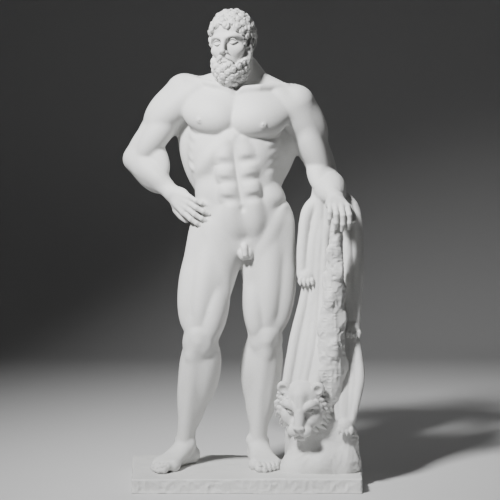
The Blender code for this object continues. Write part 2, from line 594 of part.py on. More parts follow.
def arms(clay):
    upper_arm(clay, RIGHT, unit((0.35, -1, 0)))
    upper_arm(clay, LEFT, unit((0.1, -1, -0.2)))
    forearm(clay, RIGHT, palm=(0.65, 0.3, -0.7), thumb=(0.4, -0.3, 0.6))
    forearm(clay, LEFT, palm=(0, 0, -1), thumb=(-1, 0, 0))
    on_hip = ((2.0, 0.8, 2.0), (5.0, 1.5, 4.0), (6.2, 2.6, 7.0), (6.4, 3.4, 9.6))
    on_club = ((2.0, 0.8, 2.0), (5.0, 2.0, 3.4), (6.2, 4.0, 6.0), (6.2, 5.6, 8.4))
    hand(clay, WRIST[RIGHT], (0.62, -0.62, -0.48), (0.55, 0.75, -0.1), 1, (8, 22, 16), on_hip)
    hand(clay, WRIST[LEFT], (0.05, -0.9, -0.28), (0, -0.28, -1), -1, (28, 48, 30), on_club)


# Neck and head
def neck(clay):
    clay.rod([CHEST.at(0, 3.0, 17), HEAD.at(0, 2.2, -7)], [8.2, 6.1], 3)
    clay.rod([CHEST.at(0, 5.5, 20), HEAD.at(0, 3.8, -2)], [6.0, 4.6], 3)
    for side in (LEFT, RIGHT):
        clay.rod([HEAD.at(5.4 * side, 3.0, -4), CHEST.at(1.4 * side, -5.6, 17.6)], [1.9, 1.4], 1.8)
    clay.ball(CHEST.at(0, -8.4, 18.2), (1.4, 1.8, 1.6), 1.4, CHEST.axes, cut=True)


def head(clay):
    at, axes = HEAD.at, HEAD.axes
    clay.ball(at(0, 1.2, 3.4), (7.5, 9.3, 8.4), 1.5, axes)
    clay.ball(at(0, -2.6, -3.4), (5.7, 6.1, 8.0), 2.2, axes)
    for side in (LEFT, RIGHT):
        # jaw, cheek, brow, then the eye in its socket
        clay.rod([at(5.6 * side, 0.6, -5.0), at(4.6 * side, -2.2, -8.6), at(1.2 * side, -6.6, -10.6)],
                 [1.8, 1.9, 2.0], 1.6)
        clay.ball(at(4.5 * side, -5.2, -2.9), (2.2, 1.9, 1.8), 2.6, axes)
        clay.bow([at(6.3 * side, -4.6, 0.9), at(4.6 * side, -7.4, 2.0), at(2.2 * side, -8.7, 1.9),
                  at(0.4 * side, -8.6, 1.3)], [0.6, 0.75, 0.8, 0.7], 1.9)
        clay.ball(at(3.3 * side, -9.0, -0.1), (2.0, 1.7, 1.25), 0.8, axes, cut=True)
        clay.ball(at(3.15 * side, -6.75, -0.1), (1.45, 1.45, 1.3), 0.15, axes)
        clay.ball(at(1.25 * side, -10.0, -4.25), (0.75, 1.05, 0.75), 0.5, axes)
        clay.ball(at(7.8 * side, 1.2, -1.0), (1.1, 2.0, 3.1), 0.6, axes @ turned(yaw=20 * side, pitch=8))
    # nose, lips and chin
    clay.rod([at(0, -8.8, 1.2), at(0, -10.4, -1.6), at(0, -11.3, -3.5)], [0.85, 0.85, 1.0], 0.9)
    clay.ball(at(0, -11.2, -3.8), (1.05, 1.0, 0.9), 0.5, axes)
    clay.ball(at(0, -9.1, -7.0), (2.2, 0.9, 0.9), 0.5, axes)
    clay.ball(at(0, -7.9, -9.7), (2.0, 1.8, 1.6), 1.0, axes)
    hair(clay)
    beard(clay)


HAIR_MIDDLE, HAIR_RADII = np.array([0, 1.5, 3.2]), np.array([8.3, 10.0, 9.1])
BEARD_MIDDLE, BEARD_RADII = np.array([0, -3.4, -8.8]), np.array([6.7, 7.2, 8.0])


def on_scalp(x, y, z):
    """True behind a line over the forehead and temples, down to the nape, but not on the ear."""
    by_ear = -2.4 < y < 3.2 and -5.4 < z < 2.2 and abs(x) > 5
    burns = -3.9 < y < -1.0 and -5.0 < z < 3.0 and abs(x) > 5
    behind = z > -7.5 and (4.5 * (y + 8.3) + 5.5 * (z - 6.3) > 0 or y > 1.4)
    return burns or (behind and not by_ear)


def on_jaw(x, y, z):
    """True round the jaw and chin, below the cheek and clear of the mouth."""
    by_mouth = abs(x) < 4.4 and y < -4
    return y < 1.2 and z < -4.6 and not (z > -8.8 and by_mouth) and not (z > -6.6 and y < -2.6)


def curls(clay, middle, radii, count, belongs, sizes, seed):
    """Round locks on the ellipsoid about middle, wherever belongs says so."""
    dice = np.random.default_rng(seed)
    for way in spots(count):
        spot = middle + way * radii
        size = dice.uniform(*sizes)
        if belongs(*spot):
            clay.ball(HEAD.at(*(spot + 0.2 * way)), (size,) * 3, 0.4, reach=1.5)


def hair(clay):
    clay.ball(HEAD.at(0, 2.4, 4.6), (8.0, 9.2, 7.9), 1.0, HEAD.axes)
    clay.ball(HEAD.at(0, 5.0, -0.8), (7.2, 6.2, 6.4), 1.2, HEAD.axes)
    curls(clay, HAIR_MIDDLE, HAIR_RADII, 130, on_scalp, (1.4, 1.9), 11)


def beard(clay):
    at = HEAD.at
    for side in (LEFT, RIGHT):
        clay.bow([at(6.5 * side, 0.2, -3.0), at(6.0 * side, -2.0, -7.5), at(3.6 * side, -5.0, -11.6)],
                 [1.3, 2.2, 2.9], 1.0)
        clay.bow([at(0.3 * side, -10.1, -5.5), at(1.8 * side, -9.9, -6.0), at(3.2 * side, -8.9, -7.3),
                  at(3.9 * side, -8.0, -8.9)], [0.6, 0.95, 0.95, 0.6], 0.3)
    clay.ball(at(0, -6.6, -11.6), (4.4, 3.6, 4.3), 1.0, HEAD.axes)
    curls(clay, BEARD_MIDDLE, BEARD_RADII, 110, on_jaw, (1.25, 1.7), 5)


# Plinth, rock, club and lion's skin
def block(low, high, ease, lumps, spread=0.0):
    """A box with eased edges, spread wider at its foot, with rows of (amount, scale, seed) lumps."""
    middle, half = (low + high) / 2, (high - low) / 2 - ease

    def shape(x, y, z):
        widen = 1 + spread * np.clip((high[2] - z) / (high[2] - low[2]), 0, 1)
        halves = (half[0] * widen, half[1] * widen, half[2])
        sides = [np.abs(p - np.float32(m)) - h for p, m, h in zip((x, y, z), middle, halves)]
        outside = np.sqrt(sum(np.maximum(side, 0) ** 2 for side in sides))
        inside = np.minimum(np.maximum(np.maximum(sides[0], sides[1]), sides[2]), 0)
        distance = outside + inside - ease
        for amount, scale, seed in lumps:
            distance = distance + amount * noise(x, y, z, scale, seed)
        return distance.astype(np.float32)

    return shape


def plinth(clay):
    """A thin slab, hewn a little unevenly, whose sides spread towards its back."""
    slab = block(PLINTH_LOW - 1.5 * UP, PLINTH_HIGH, 0.8, [(0.3, 16, 3), (0.12, 5, 4)])
    slope = SPLAY / (PLINTH_HIGH[1] - PLINTH_LOW[1])

    def shape(x, y, z):
        inset = slope * (PLINTH_HIGH[1] - y)
        left, right = PLINTH_LOW[0] + inset - x, x - PLINTH_HIGH[0] + inset
        return smooth_max(slab(x, y, z), np.maximum(left, right).astype(np.float32), 1.0)

    clay.stroke(PLINTH_LOW, PLINTH_HIGH, shape, 0)


def rock(clay):
    """A boulder wider at its foot, with a lower shoulder at its outer side."""
    low = np.array((ROCK_LEFT + 1.5, ROCK_FRONT + 2.0, -4.0))
    high = np.array((ROCK_RIGHT - 2.0, ROCK_BACK - 1.5, ROCK_TOP))
    clay.stroke(low - 4, high + 4, block(low, high, 5, [(2.0, 16, 8), (1.0, 7, 9)], 0.16), 2.5)
    for x, y, z, size in ((ROCK_LEFT + 2, ROCK_FRONT + 5, 1.0, 6.0),
                          (ROCK_RIGHT - 8, ROCK_FRONT + 6, 2.0, 7.0),
                          (ROCK_RIGHT - 8, ROCK_BACK - 8, 3.0, 8.0),
                          (ROCK_MIDDLE - 2, ROCK_FRONT + 3, 4.0, 6.0)):
        clay.ball((x, y, z), (size, size, size * 0.9), 4)


def club(clay):
    axis = CLUB_TOP - CLUB_FOOT
    thick = CLUB_RADIUS / CM
    at = lambda share: CLUB_FOOT + axis * share
    shares = (0, 0.12, 0.45, 0.8, 0.96)
    clay.rod([at(share) for share in shares], [thick * part for part in (0.94, 1.0, 0.78, 0.5, 0.4)], 1.0)
    clay.ball(at(1.0), (3.5, 3.5, 2.9), 0.8)
    across = unit(np.cross(axis, (1, 0, 0)))
    aside = unit(np.cross(axis, across))
    knots = 15
    golden = 2.399
    lengthwise = np.stack([across, aside, unit(axis)], axis=1)
    for i in range(knots):
        share = 0.06 + 0.78 * i / knots
        out = across * math.cos(i * golden) + aside * math.sin(i * golden)
        size = 2.3 - 1.1 * share
        clay.ball(at(share) + out * thick * (0.90 - 0.50 * share), (size, size, size * 1.9), 1.8, lengthwise,
                  reach=2)


def skin(clay):
    """The lion's skin, hung over the forearm and falling in folds to the rock."""
    elbow, wrist = ELBOW[LEFT], WRIST[LEFT]
    reach = wrist - elbow
    clay.muscle(elbow - reach * 0.04, elbow + reach * 0.92, 6.6, 6.2, UP, 1.2)
    over = elbow + reach * 0.42
    floor = ROCK_TOP
    fall = 93 - floor
    core = [(36.5, 0.5, 107), (36.8, 2.5, 92), (37.0, 3.5, floor + fall * 0.6),
            (36.0, 3.0, floor + fall * 0.22),
            (35.0, 1.0, floor - 2)]
    clay.bow(core, [4.6, 5.6, 6.4, 8.2, 10.5], 2.5)
    folds = 13
    dice = np.random.default_rng(4)
    for i in range(folds):
        angle = 2 * math.pi * i / folds + 0.25
        swung = angle + dice.uniform(-0.22, 0.22)
        thick = dice.uniform(0.8, 1.25)
        rings = ((angle, over[0], over[1], over[2] - 0.5, 5.2, 7.2, 1.2),
                 (angle, 36.8, 1.6, 93, 6.0, 7.6, 1.8),
                 (swung, 37.0, 2.6, floor + fall * 0.63, 6.8, 8.4, 2.1),
                 (swung, 36.3, 2.4, floor + fall * 0.26, 8.6, 9.4, 2.5),
                 (angle, 35.4, 1.0, floor - 1, 11.2, 11.4, 2.2))
        clay.bow([(x + wide * math.cos(a), y + deep * math.sin(a), z) for a, x, y, z, wide, deep, _ in rings],
                 [ring[-1] * thick for ring in rings], 0.8)
    paw(clay, [(39.0, -1.0, 108), (44.4, -3.5, 101), (46.2, -6.0, 84), (46.2, -8.0, 68), (45.6, -9.5, 56)],
        (0, -0.5, -1))
    paw(clay, [(35.5, -2.0, 107), (30.8, -4.5, 100), (28.6, -6.5, 88), (27.6, -8.0, 76)], (0, -0.6, -1))
    # the falls of the skin to the lion's mask and over the rock's front
    clay.bow([(33, -3, 70), (30.5, -6, floor + 18), (28.5, -9, floor + 5), MASK.at(0, 6, 4)],
             [3.6, 4.4, 6.0, 6.5], 2.0)
    to_mask = [(35.5, -3.5, 106), (33.0, -6.5, 90), (31.2, -8.5, 66), (29.2, -11.5, floor + 16),
               MASK.at(0, 1.5, 7)]
    drape(clay, to_mask, (1.5, 2.4, 4.2, 6.2, 6.0), (1.4, 1.5, 1.9, 2.2, 2.0), 6, 7)
    over_rock = [(41, -5, 74), (43.0, -8, floor + 22), (43.5, -12, floor + 4),
                 (43.0, ROCK_FRONT + 1.0, floor - 5),
                 (42.4, ROCK_FRONT - 0.8, floor - 13)]
    drape(clay, over_rock, (1.2, 3.0, 4.6, 3.8, 2.4), (1.2, 1.6, 1.9, 1.7, 1.4), 5, 3)
    claws(clay, over_rock[-1], unit((-0.1, -0.15, -1)), unit((1, -0.25, 0)))


def drape(clay, line, halves, radii, strands, seed):
    """A fluted fall of the skin: strands side by side along line, as far apart as halves says."""
    dice = np.random.default_rng(seed)
    across = unit((1, -0.25, 0))
    for i in range(strands):
        place = 2 * i / (strands - 1) - 1
        sway, lift = dice.uniform(-0.12, 0.12), dice.uniform(-0.5, 0.7)
        points = [np.array(point, float) + across * half * (place + sway) + lift * FRONT
                  + 0.4 * half * place ** 2 * UP
                  for point, half in zip(line, halves)]
        clay.bow(points, radii, 0.9)


def paw(clay, line, way):
    end, way = np.array(line[-1], float), unit(way)
    across = unit(np.cross(way, (0, -1, 0.2)))
    for aside in (-1.7, 1.7):
        strands = [np.array(point, float) + across * aside * (0.4, 1.4, 1.3, 1.0, 0.7)[i] for i,
                   point in enumerate(line)]
        clay.bow(strands, (3.2, 2.5, 2.1, 1.9, 1.7)[:len(line)], 1.4)
    claws(clay, end, way, across)


def claws(clay, end, way, across):
    """The foot of a paw, with four toes."""
    clay.ball(end + way * 1.5, (3.1, 2.4, 3.0), 0.8)
    for place in (-1.5, -0.5, 0.5, 1.5):
        toe = end + way * (3.6 - 0.35 * abs(place)) + across * place * 1.55 + 0.9 * FRONT
        clay.ball(toe, (1.0, 1.15, 1.5), 0.3)
        clay.rod([toe + way * 1.0 + 0.3 * FRONT, toe + way * 2.3 - 0.1 * FRONT], [0.5, 0.2], 0.2)


def mask(clay):
    """The lion's head of the skin, hanging face out over the rock's edge."""
    at, axes = MASK.at, MASK.axes
    clay.ball(at(0, 2, 2.4), (7.8, 6.5, 8.6), 2.0, axes)
    clay.ball(at(0, -4.6, -4.8), (4.5, 4.6, 3.7), 1.5, axes)
    clay.bow([at(0, -2.6, 6.4), at(0, -5.6, 1.6), at(0, -8.4, -2.6)], [2.8, 2.2, 1.9], 1.2)
    clay.ball(at(0, -9.7, -3.3), (2.3, 1.2, 1.1), 0.4, axes)
    clay.ball(at(0, -6.0, -8.7), (2.7, 2.6, 1.6), 0.5, axes)
    for side in (LEFT, RIGHT):
        clay.ball(at(4.8 * side, -1.8, -2.0), (3.3, 3.6, 4.4), 1.6, axes)
        clay.ball(at(2.2 * side, -7.7, -5.5), (2.7, 2.3, 2.4), 0.4, axes)
        clay.ball(at(1.25 * side, -10.7, -3.7), (0.55, 0.7, 0.4), 0.2, axes, cut=True)
        # brow, eye and ear
        clay.bow([at(6.9 * side, -1.4, 2.2), at(4.6 * side, -4.6, 4.2), at(1.7 * side, -5.6, 2.7)],
                 [1.2, 1.5, 1.1], 0.7)
        clay.ball(at(3.9 * side, -6.0, 1.4), (1.9, 1.7, 1.1), 0.4, axes @ turned(roll=-16 * side), cut=True)
        clay.ball(at(3.7 * side, -4.5, 1.3), (1.35, 1.2, 0.9), 0.2, axes)
        lean = axes @ turned(roll=24 * side)
        clay.ball(at(6.6 * side, 0.2, 8.4), (2.6, 1.5, 2.8), 0.6, lean)
        clay.ball(at(6.7 * side, -1.2, 8.5), (1.5, 1.0, 1.7), 0.4, lean, cut=True)
        # the lip's edge and a fang under it
        clay.bow([at(4.6 * side, -5.4, -7.0), at(2.4 * side, -9.2, -8.0), at(0, -10.0, -6.9)],
                 [0.3, 0.4, 0.3], 0.4, cut=True)
        clay.rod([at(2.0 * side, -8.5, -7.0), at(1.9 * side, -8.7, -9.2)], [0.55, 0.2], 0.2)
    clay.rod([at(0, -10.9, -4.4), at(0, -10.4, -7.2)], [0.22, 0.22], 0.4, cut=True)
    clay.rod([at(0, -5.6, 8.4), at(0, -7.2, 3.8)], [0.5, 0.4], 0.8, cut=True)
    mane(clay)


def mane(clay):
    """Three rings of pointed locks that sweep out from the lion's face."""
    dice = np.random.default_rng(31)
    for ring, (radius, count) in enumerate(((7.0, 13), (8.6, 16), (10.0, 18))):
        for i in range(count):
            angle = 2 * math.pi * (i + 0.5 * ring) / count + dice.uniform(-0.06, 0.06)
            across, rise = math.cos(angle), math.sin(angle)
            longer, bend = dice.uniform(1.8, 3.0), dice.uniform(0.5, 1.4) * (1 if across > 0 else -1)
            root = MASK.at(radius * 0.74 * across, -0.6 + 2.1 * ring, radius * 0.80 * rise - 0.2)
            middle = MASK.at(radius * 1.02 * across + bend * rise, -2.0 + 2.3 * ring,
                             radius * 0.98 * rise - 0.8)
            end = radius + longer
            tip = MASK.at(end * 0.92 * across - bend * rise, 0.4 + 2.7 * ring, end * 0.9 * rise - 4.0)
            lock(clay, root, middle, tip)


def lock(clay, root, middle, tip):
    clay.bow([root, middle, tip], [1.4, 1.7, 0.5], 0.4, reach=2)


# The whole
def carve():
    """The finished field of distances: the figure, merged lightly with what it stands on and holds."""
    low = PLINTH_LOW - (9.0, 6.0, 4.0)
    high = np.array((PLINTH_HIGH[0] + 4.0, PLINTH_HIGH[1] + 4.0, MAN + 3.0))
    figure = Clay(low, high, CARVING_STEP)
    trunk(figure)
    for side in (LEFT, RIGHT):
        leg(figure, side)
    belly(figure)
    groin(figure)
    neck(figure)
    arms(figure)
    head(figure)
    support = Clay(low, high, CARVING_STEP)
    plinth(support)
    rock(support)
    skin(support)
    club(support)
    mask(support)
    figure.depth = smooth_min(figure.depth, support.depth, 0.5)
    return figure


def one_body(points, faces):
    """Only the largest closed skin, without loose crumbs or sealed hollows."""
    ends = np.sort(np.stack([faces, np.roll(faces, -1, axis=1)], axis=2), axis=2)
    edges = np.unique(ends[:, :, 0] * np.int64(len(points)) + ends[:, :, 1], return_inverse=True)[1]
    edges = edges.reshape(faces.shape)
    label = np.arange(len(faces))
    while True:
        least = np.full(edges.max() + 1, len(faces))
        np.minimum.at(least, edges, label[:, None])
        lowest = least[edges].min(1)
        lowest = lowest[lowest]
        if (lowest == label).all():
            break
        label = lowest
    faces = faces[label == np.bincount(label).argmax()]
    kept = np.zeros(len(points), bool)
    kept[faces] = True
    return points[kept], (np.cumsum(kept) - 1)[faces]


def skin_mesh(clay):
    """The clay's surface as a mesh in metres, with the origin under the plinth's middle."""
    points, faces = one_body(*clay.surface())
    middle = (PLINTH_LOW + PLINTH_HIGH) / 2
    origin = np.array((middle[0], middle[1], PLINTH_LOW[2]))
    mesh = bpy.data.meshes.new(NODE)
    mesh.from_pydata(((points - origin) * CM).tolist(), [], faces.tolist())
    return mesh


def thinned(mesh, triangles):
    """The mesh with about that many triangles, most of them where it curves most."""
    model = bpy.data.objects.new(NODE, mesh)
    bpy.context.scene.collection.objects.link(model)
    decimate = model.modifiers.new("thin", "DECIMATE")
    decimate.ratio = triangles / (2 * len(mesh.polygons))
    decimate.use_collapse_triangulate = True
    shape = model.evaluated_get(bpy.context.evaluated_depsgraph_get())
    thin = bpy.data.meshes.new_from_object(shape)
    bpy.data.objects.remove(model)
    return thin


def cut_flat(mesh):
    """Cuts the mesh off flat at z = 0, the underside, and closes it there."""
    shape = bmesh.new()
    shape.from_mesh(mesh)
    everything = shape.verts[:] + shape.edges[:] + shape.faces[:]
    cut = bmesh.ops.bisect_plane(shape, geom=everything, plane_co=(0, 0, 0), plane_no=(0, 0, -1),
                                 clear_outer=True)
    rim = [edge for edge in cut["geom_cut"] if isinstance(edge, bmesh.types.BMEdge)]
    bmesh.ops.holes_fill(shape, edges=rim, sides=0)
    bmesh.ops.triangulate(shape, faces=shape.faces[:])
    bmesh.ops.recalc_face_normals(shape, faces=shape.faces[:])
    shape.to_mesh(mesh)
    shape.free()


def stone():
    material = bpy.data.materials.new("pale_stone")
    material.use_nodes = True
    shader = material.node_tree.nodes["Principled BSDF"]
    shader.inputs["Base Color"].default_value = (*STONE, 1.0)
    shader.inputs["Roughness"].default_value = 0.75
    shader.inputs["Metallic"].default_value = 0.0
    return material


def main():
    for old in list(bpy.data.objects):
        bpy.data.objects.remove(old)
    mesh = thinned(skin_mesh(carve()), TRIANGLES)
    cut_flat(mesh)
    mesh.shade_smooth()
    mesh.materials.append(stone())
    statue = bpy.data.objects.new(NODE, mesh)
    collection = bpy.data.collections.new("hercules_statue_parts")
    bpy.context.scene.collection.children.link(collection)
    collection.objects.link(statue)


main()
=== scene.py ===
"""The looks of a standing bearded hero with a club and a lion's skin, in pale matt stone.

The form is that of the solid part: masses blended in a field of distances, in centimetres of a
180 cm man, and drawn off as a closed skin. Here the field is finer, and it has the eyelids, locks,
nails and tool marks that the solid leaves out. Front is -Y and up is +Z, in metres.
"""

import math
from copy import copy

import bpy
import numpy as np
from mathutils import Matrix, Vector


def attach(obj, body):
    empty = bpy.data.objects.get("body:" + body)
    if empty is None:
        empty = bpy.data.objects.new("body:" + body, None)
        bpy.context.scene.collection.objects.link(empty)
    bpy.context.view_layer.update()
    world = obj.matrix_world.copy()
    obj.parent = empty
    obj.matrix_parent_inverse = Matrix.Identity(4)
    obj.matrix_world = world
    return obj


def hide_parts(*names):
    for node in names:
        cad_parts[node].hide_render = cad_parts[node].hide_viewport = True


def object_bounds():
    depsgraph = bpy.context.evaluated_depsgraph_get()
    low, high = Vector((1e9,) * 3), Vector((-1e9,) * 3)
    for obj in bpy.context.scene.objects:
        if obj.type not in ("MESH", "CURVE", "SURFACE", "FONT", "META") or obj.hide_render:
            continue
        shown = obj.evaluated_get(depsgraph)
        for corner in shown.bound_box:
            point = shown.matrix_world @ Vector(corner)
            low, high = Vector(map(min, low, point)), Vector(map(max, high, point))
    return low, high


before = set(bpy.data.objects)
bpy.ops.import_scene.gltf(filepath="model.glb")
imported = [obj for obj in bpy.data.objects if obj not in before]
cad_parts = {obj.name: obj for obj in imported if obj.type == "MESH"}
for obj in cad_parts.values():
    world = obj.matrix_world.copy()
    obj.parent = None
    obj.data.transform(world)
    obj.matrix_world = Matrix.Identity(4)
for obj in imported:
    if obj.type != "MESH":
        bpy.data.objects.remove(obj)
cad_low, cad_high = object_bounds()

# Driving sizes, in metres
FIGURE_HEIGHT = 3.05      # sole to crown, under the hair
PLINTH_HEIGHT = 0.095
PLINTH_MARGIN = 0.055     # plinth left bare beside the feet and the rock
PLINTH_APRON = 0.12       # plinth left bare in front of the toes and the rock
PLINTH_SPLAY = 0.075      # its sides spread by this much, each, from front to back
ROCK_WIDTH = 0.47
ROCK_DEPTH = 0.60
ROCK_HEIGHT = 0.56
ROCK_GAP = 0.075          # between the calf of the standing leg and the rock
CLUB_RADIUS = 0.104       # at its thick lower end

# Working values
MAN = 180.0               # height, in cm, of the man that the proportions are written for
CM = FIGURE_HEIGHT / MAN  # metres for each cm of that man
FAR = 60.0                # depth that empty clay has
STONE = (0.66, 0.66, 0.65)
NODE = "hercules_statue"

UP = np.array([0.0, 0.0, 1.0])
FRONT = np.array([0.0, -1.0, 0.0])
SIDES = LEFT, RIGHT = 1, -1   # the figure's own; its left is at +X


# Vectors and frames
def unit(vector):
    vector = np.asarray(vector, float)
    return vector / np.linalg.norm(vector)


def turned(yaw=0.0, pitch=0.0, roll=0.0):
    """The axes of a frame turned, in degrees, about the upright, the sideways and the front axis."""
    a, b, c = (math.radians(angle) for angle in (yaw, pitch, roll))
    about_up = np.array([[math.cos(a), -math.sin(a), 0], [math.sin(a), math.cos(a), 0], [0, 0, 1]])
    about_side = np.array([[1, 0, 0], [0, math.cos(b), -math.sin(b)], [0, math.sin(b), math.cos(b)]])
    about_front = np.array([[math.cos(c), 0, math.sin(c)], [0, 1, 0], [-math.sin(c), 0, math.cos(c)]])
    return about_up @ about_side @ about_front


class Place:
    """A frame on the body: x to its left side, y to its back and z up."""

    def __init__(self, centre, axes):
        self.centre = np.array(centre, float)
        self.axes = axes

    def at(self, x, y, z):
        return self.centre + self.axes @ np.array([x, y, z], float)

    def way(self, x, y, z):
        return self.axes @ np.array([x, y, z], float)

    def line(self, spots, side=1):
        """A place for each spot, all mirrored where side is -1."""
        return [self.at(x * side, y, z) for x, y, z in spots]


class Bone:
    """A limb's line, with its front and its outer side."""

    def __init__(self, start, end, front, side):
        self.start = np.array(start, float)
        self.span = np.array(end, float) - self.start
        down = unit(self.span)
        front = np.array(front, float)
        self.front = unit(front - down * (front @ down))
        self.outer = -side * np.cross(down, self.front)

    def at(self, share, front=0.0, outer=0.0):
        return self.start + self.span * share + self.front * front + self.outer * outer


# The clay: a field of distances
def smooth_min(a, b, blend):
    """The lower of two distances, eased over blend where they are close."""
    if blend <= 0:
        return np.minimum(a, b)
    near = np.maximum(blend - np.abs(a - b), 0) / blend
    return np.minimum(a, b) - near * near * (blend / 4)


def smooth_max(a, b, blend):
    return -smooth_min(-a, -b, blend)


def smooth_line(points, radii, fine):
    """Points and radii along a smooth curve through those given, in fine steps from each to the next."""
    points = np.asarray(points, float)
    rows = np.column_stack([points, np.broadcast_to(np.asarray(radii, float), (len(points),))])
    rows = np.vstack([2 * rows[0] - rows[1], rows, 2 * rows[-1] - rows[-2]])
    line = []
    for i in range(1, len(rows) - 2):
        before, here, there, after = rows[i - 1:i + 3]
        for t in np.arange(fine) / fine:
            line.append(0.5 * (2 * here + (there - before) * t
                               + (2 * before - 5 * here + 4 * there - after) * t ** 2
                               + (3 * here - before - 3 * there + after) * t ** 3))
    line = np.array(line + [rows[-2]])
    return line[:, :3], np.maximum(line[:, 3], 0.02)


def noise(x, y, z, scale, seed, size=24):
    """Smooth lumps from -1 to 1, about scale across, on the grid lines x, y and z."""
    table = np.random.default_rng(seed).uniform(-1, 1, (size, size, size)).astype(np.float32)
    for axis, line in enumerate((x, y, z)):
        place = np.ravel(line) / scale + 7.31
        cell = np.floor(place).astype(int)
        share = (place - cell).astype(np.float32)
        share = (share * share * (3 - 2 * share)).reshape([-1 if i == axis else 1 for i in range(3)])
        table = (np.take(table, cell % size, axis) * (1 - share)
                 + np.take(table, (cell + 1) % size, axis) * share)
    return table


def spots(count):
    """Directions spread evenly over a ball."""
    i = np.arange(count) + 0.5
    height = 1 - 2 * i / count
    angle = math.pi * (1 + 5 ** 0.5) * i
    ring = np.sqrt(1 - height * height)
    return np.stack([ring * np.cos(angle), ring * np.sin(angle), height], axis=1)


class Clay:
    """Distances to the surface on a grid, in cm. Each stroke adds a form, or cuts one away."""

    def __init__(self, low, high, step):
        self.low = np.array(low, float)
        self.step = step
        counts = [int(math.ceil((b - a) / step)) + 1 for a, b in zip(low, high)]
        self.depth = np.full(counts, FAR, np.float32)

    def window(self, low, high, grow):
        """The grid's part between low and high, and its x, y and z lines."""
        spans, lines = [], []
        for axis, count in enumerate(self.depth.shape):
            first = int((low[axis] - grow - self.low[axis]) / self.step)
            last = int((high[axis] + grow - self.low[axis]) / self.step) + 2
            first, last = np.clip((first, last), 0, count)
            spans.append(slice(first, last))
            line = (self.low[axis] + self.step * np.arange(first, last)).astype(np.float32)
            lines.append(line.reshape([-1 if i == axis else 1 for i in range(3)]))
        return self.depth[tuple(spans)], lines

    def stroke(self, low, high, shape, blend, cut=False, reach=4.0):
        """Works shape, a function of x, y and z, into the grid's part between low and high."""
        here, lines = self.window(low, high, max(reach, blend) + self.step)
        if here.size:
            distance = shape(*lines)
            here[...] = -smooth_min(-here, distance, blend) if cut else smooth_min(here, distance, blend)

    def lines(self):
        """The whole grid's lines along x, y and z."""
        return self.window(self.low, self.low + 1e3, 0)[1]

    def wear(self, depth):
        """Takes depth off the surface all over the grid."""
        self.depth += depth.astype(np.float32)

    def ball(self, centre, radii, blend, axes=None, cut=False, reach=4.0):
        """An ellipsoid whose own axes are the columns of axes."""
        centre, radii = np.asarray(centre, float), np.asarray(radii, float)
        axes = np.eye(3) if axes is None else axes
        half = np.sqrt(((axes * radii) ** 2).sum(1))

        def shape(x, y, z):
            x, y, z = (p - np.float32(c) for p, c in zip((x, y, z), centre))
            near = far = 0
            for (a, b, c), radius in zip(axes.T.astype(np.float32), radii.astype(np.float32)):
                square = ((x * a + y * b + z * c) / radius) ** 2
                near = near + square
                far = far + square / radius ** 2
            near = np.sqrt(near)
            return near * (near - 1) / np.maximum(np.sqrt(far), 1e-4)

        self.stroke(centre - half, centre + half, shape, blend, cut, reach)

    def muscle(self, start, end, wide, deep, facing, blend):
        """A long ellipsoid from start to end, deep along facing and wide across it."""
        start, end = np.asarray(start, float), np.asarray(end, float)
        along = unit(end - start)
        facing = np.asarray(facing, float)
        facing = unit(facing - along * (facing @ along))
        axes = np.stack([np.cross(along, facing), facing, along], axis=1)
        self.ball((start + end) / 2, (wide, deep, np.linalg.norm(end - start) / 2), blend, axes)

    def rod(self, points, radii, blend, cut=False, reach=4.0):
        """A rounded rod through points, with a radius at each."""
        points = np.asarray(points, float)
        radii = np.broadcast_to(np.asarray(radii, float), (len(points),))

        def shape(x, y, z):
            best = None
            for a, b, start, end in zip(points[:-1], points[1:], radii[:-1], radii[1:]):
                span = (b - a).astype(np.float32)
                offset = [p - np.float32(c) for p, c in zip((x, y, z), a)]
                share = sum(o * s for o, s in zip(offset, span)) / np.float32(span @ span)
                share = np.clip(share, 0, 1)
                square = sum((o - share * s) ** 2 for o, s in zip(offset, span))
                distance = np.sqrt(square) - (np.float32(start) + share * np.float32(end - start))
                best = distance if best is None else np.minimum(best, distance)
            return best

        most = radii.max()
        self.stroke(points.min(0) - most, points.max(0) + most, shape, blend, cut, reach)

    def bow(self, points, radii, blend, cut=False, reach=4.0):
        """A rod along a smooth curve through points, in more steps where it is thick."""
        fine = 5 + int(0.9 * np.max(radii))
        self.rod(*smooth_line(points, radii, fine), blend, cut, reach)

    def apart(self, low, high):
        """Empty clay over this grid's part between low and high, to be worked alone and then joined."""
        first, last = (((corner - self.low) / self.step).astype(int) for corner in (low, high))
        first, last = (np.clip(ends, 0, self.depth.shape) for ends in (first, last))
        lump = copy(self)
        lump.low = self.low + self.step * first
        lump.depth = np.full(last - first, FAR, np.float32)
        lump.spans = tuple(slice(a, b) for a, b in zip(first, last))
        return lump

    def join(self, lump, blend):
        here = self.depth[lump.spans]
        here[...] = smooth_min(here, lump.depth, blend)

    def settle(self):
        """Fills a corner of each square that is solid only across a diagonal, where the skin would pinch."""
        pinched = True
        while pinched:
            pinched = False
            for u, v in ((0, 1), (0, 2), (1, 2)):
                views = []
                for du, dv in ((0, 0), (1, 0), (0, 1), (1, 1)):
                    part = [slice(None)] * 3
                    part[u] = slice(du, self.depth.shape[u] - 1 + du)
                    part[v] = slice(dv, self.depth.shape[v] - 1 + dv)
                    views.append(self.depth[tuple(part)])
                a, b, c, d = (view < 0 for view in views)
                for view, bridge in ((views[1], a & d & ~b & ~c), (views[0], b & c & ~a & ~d)):
                    view[bridge] = -0.05 * self.step
                    pinched = pinched or bridge.any()

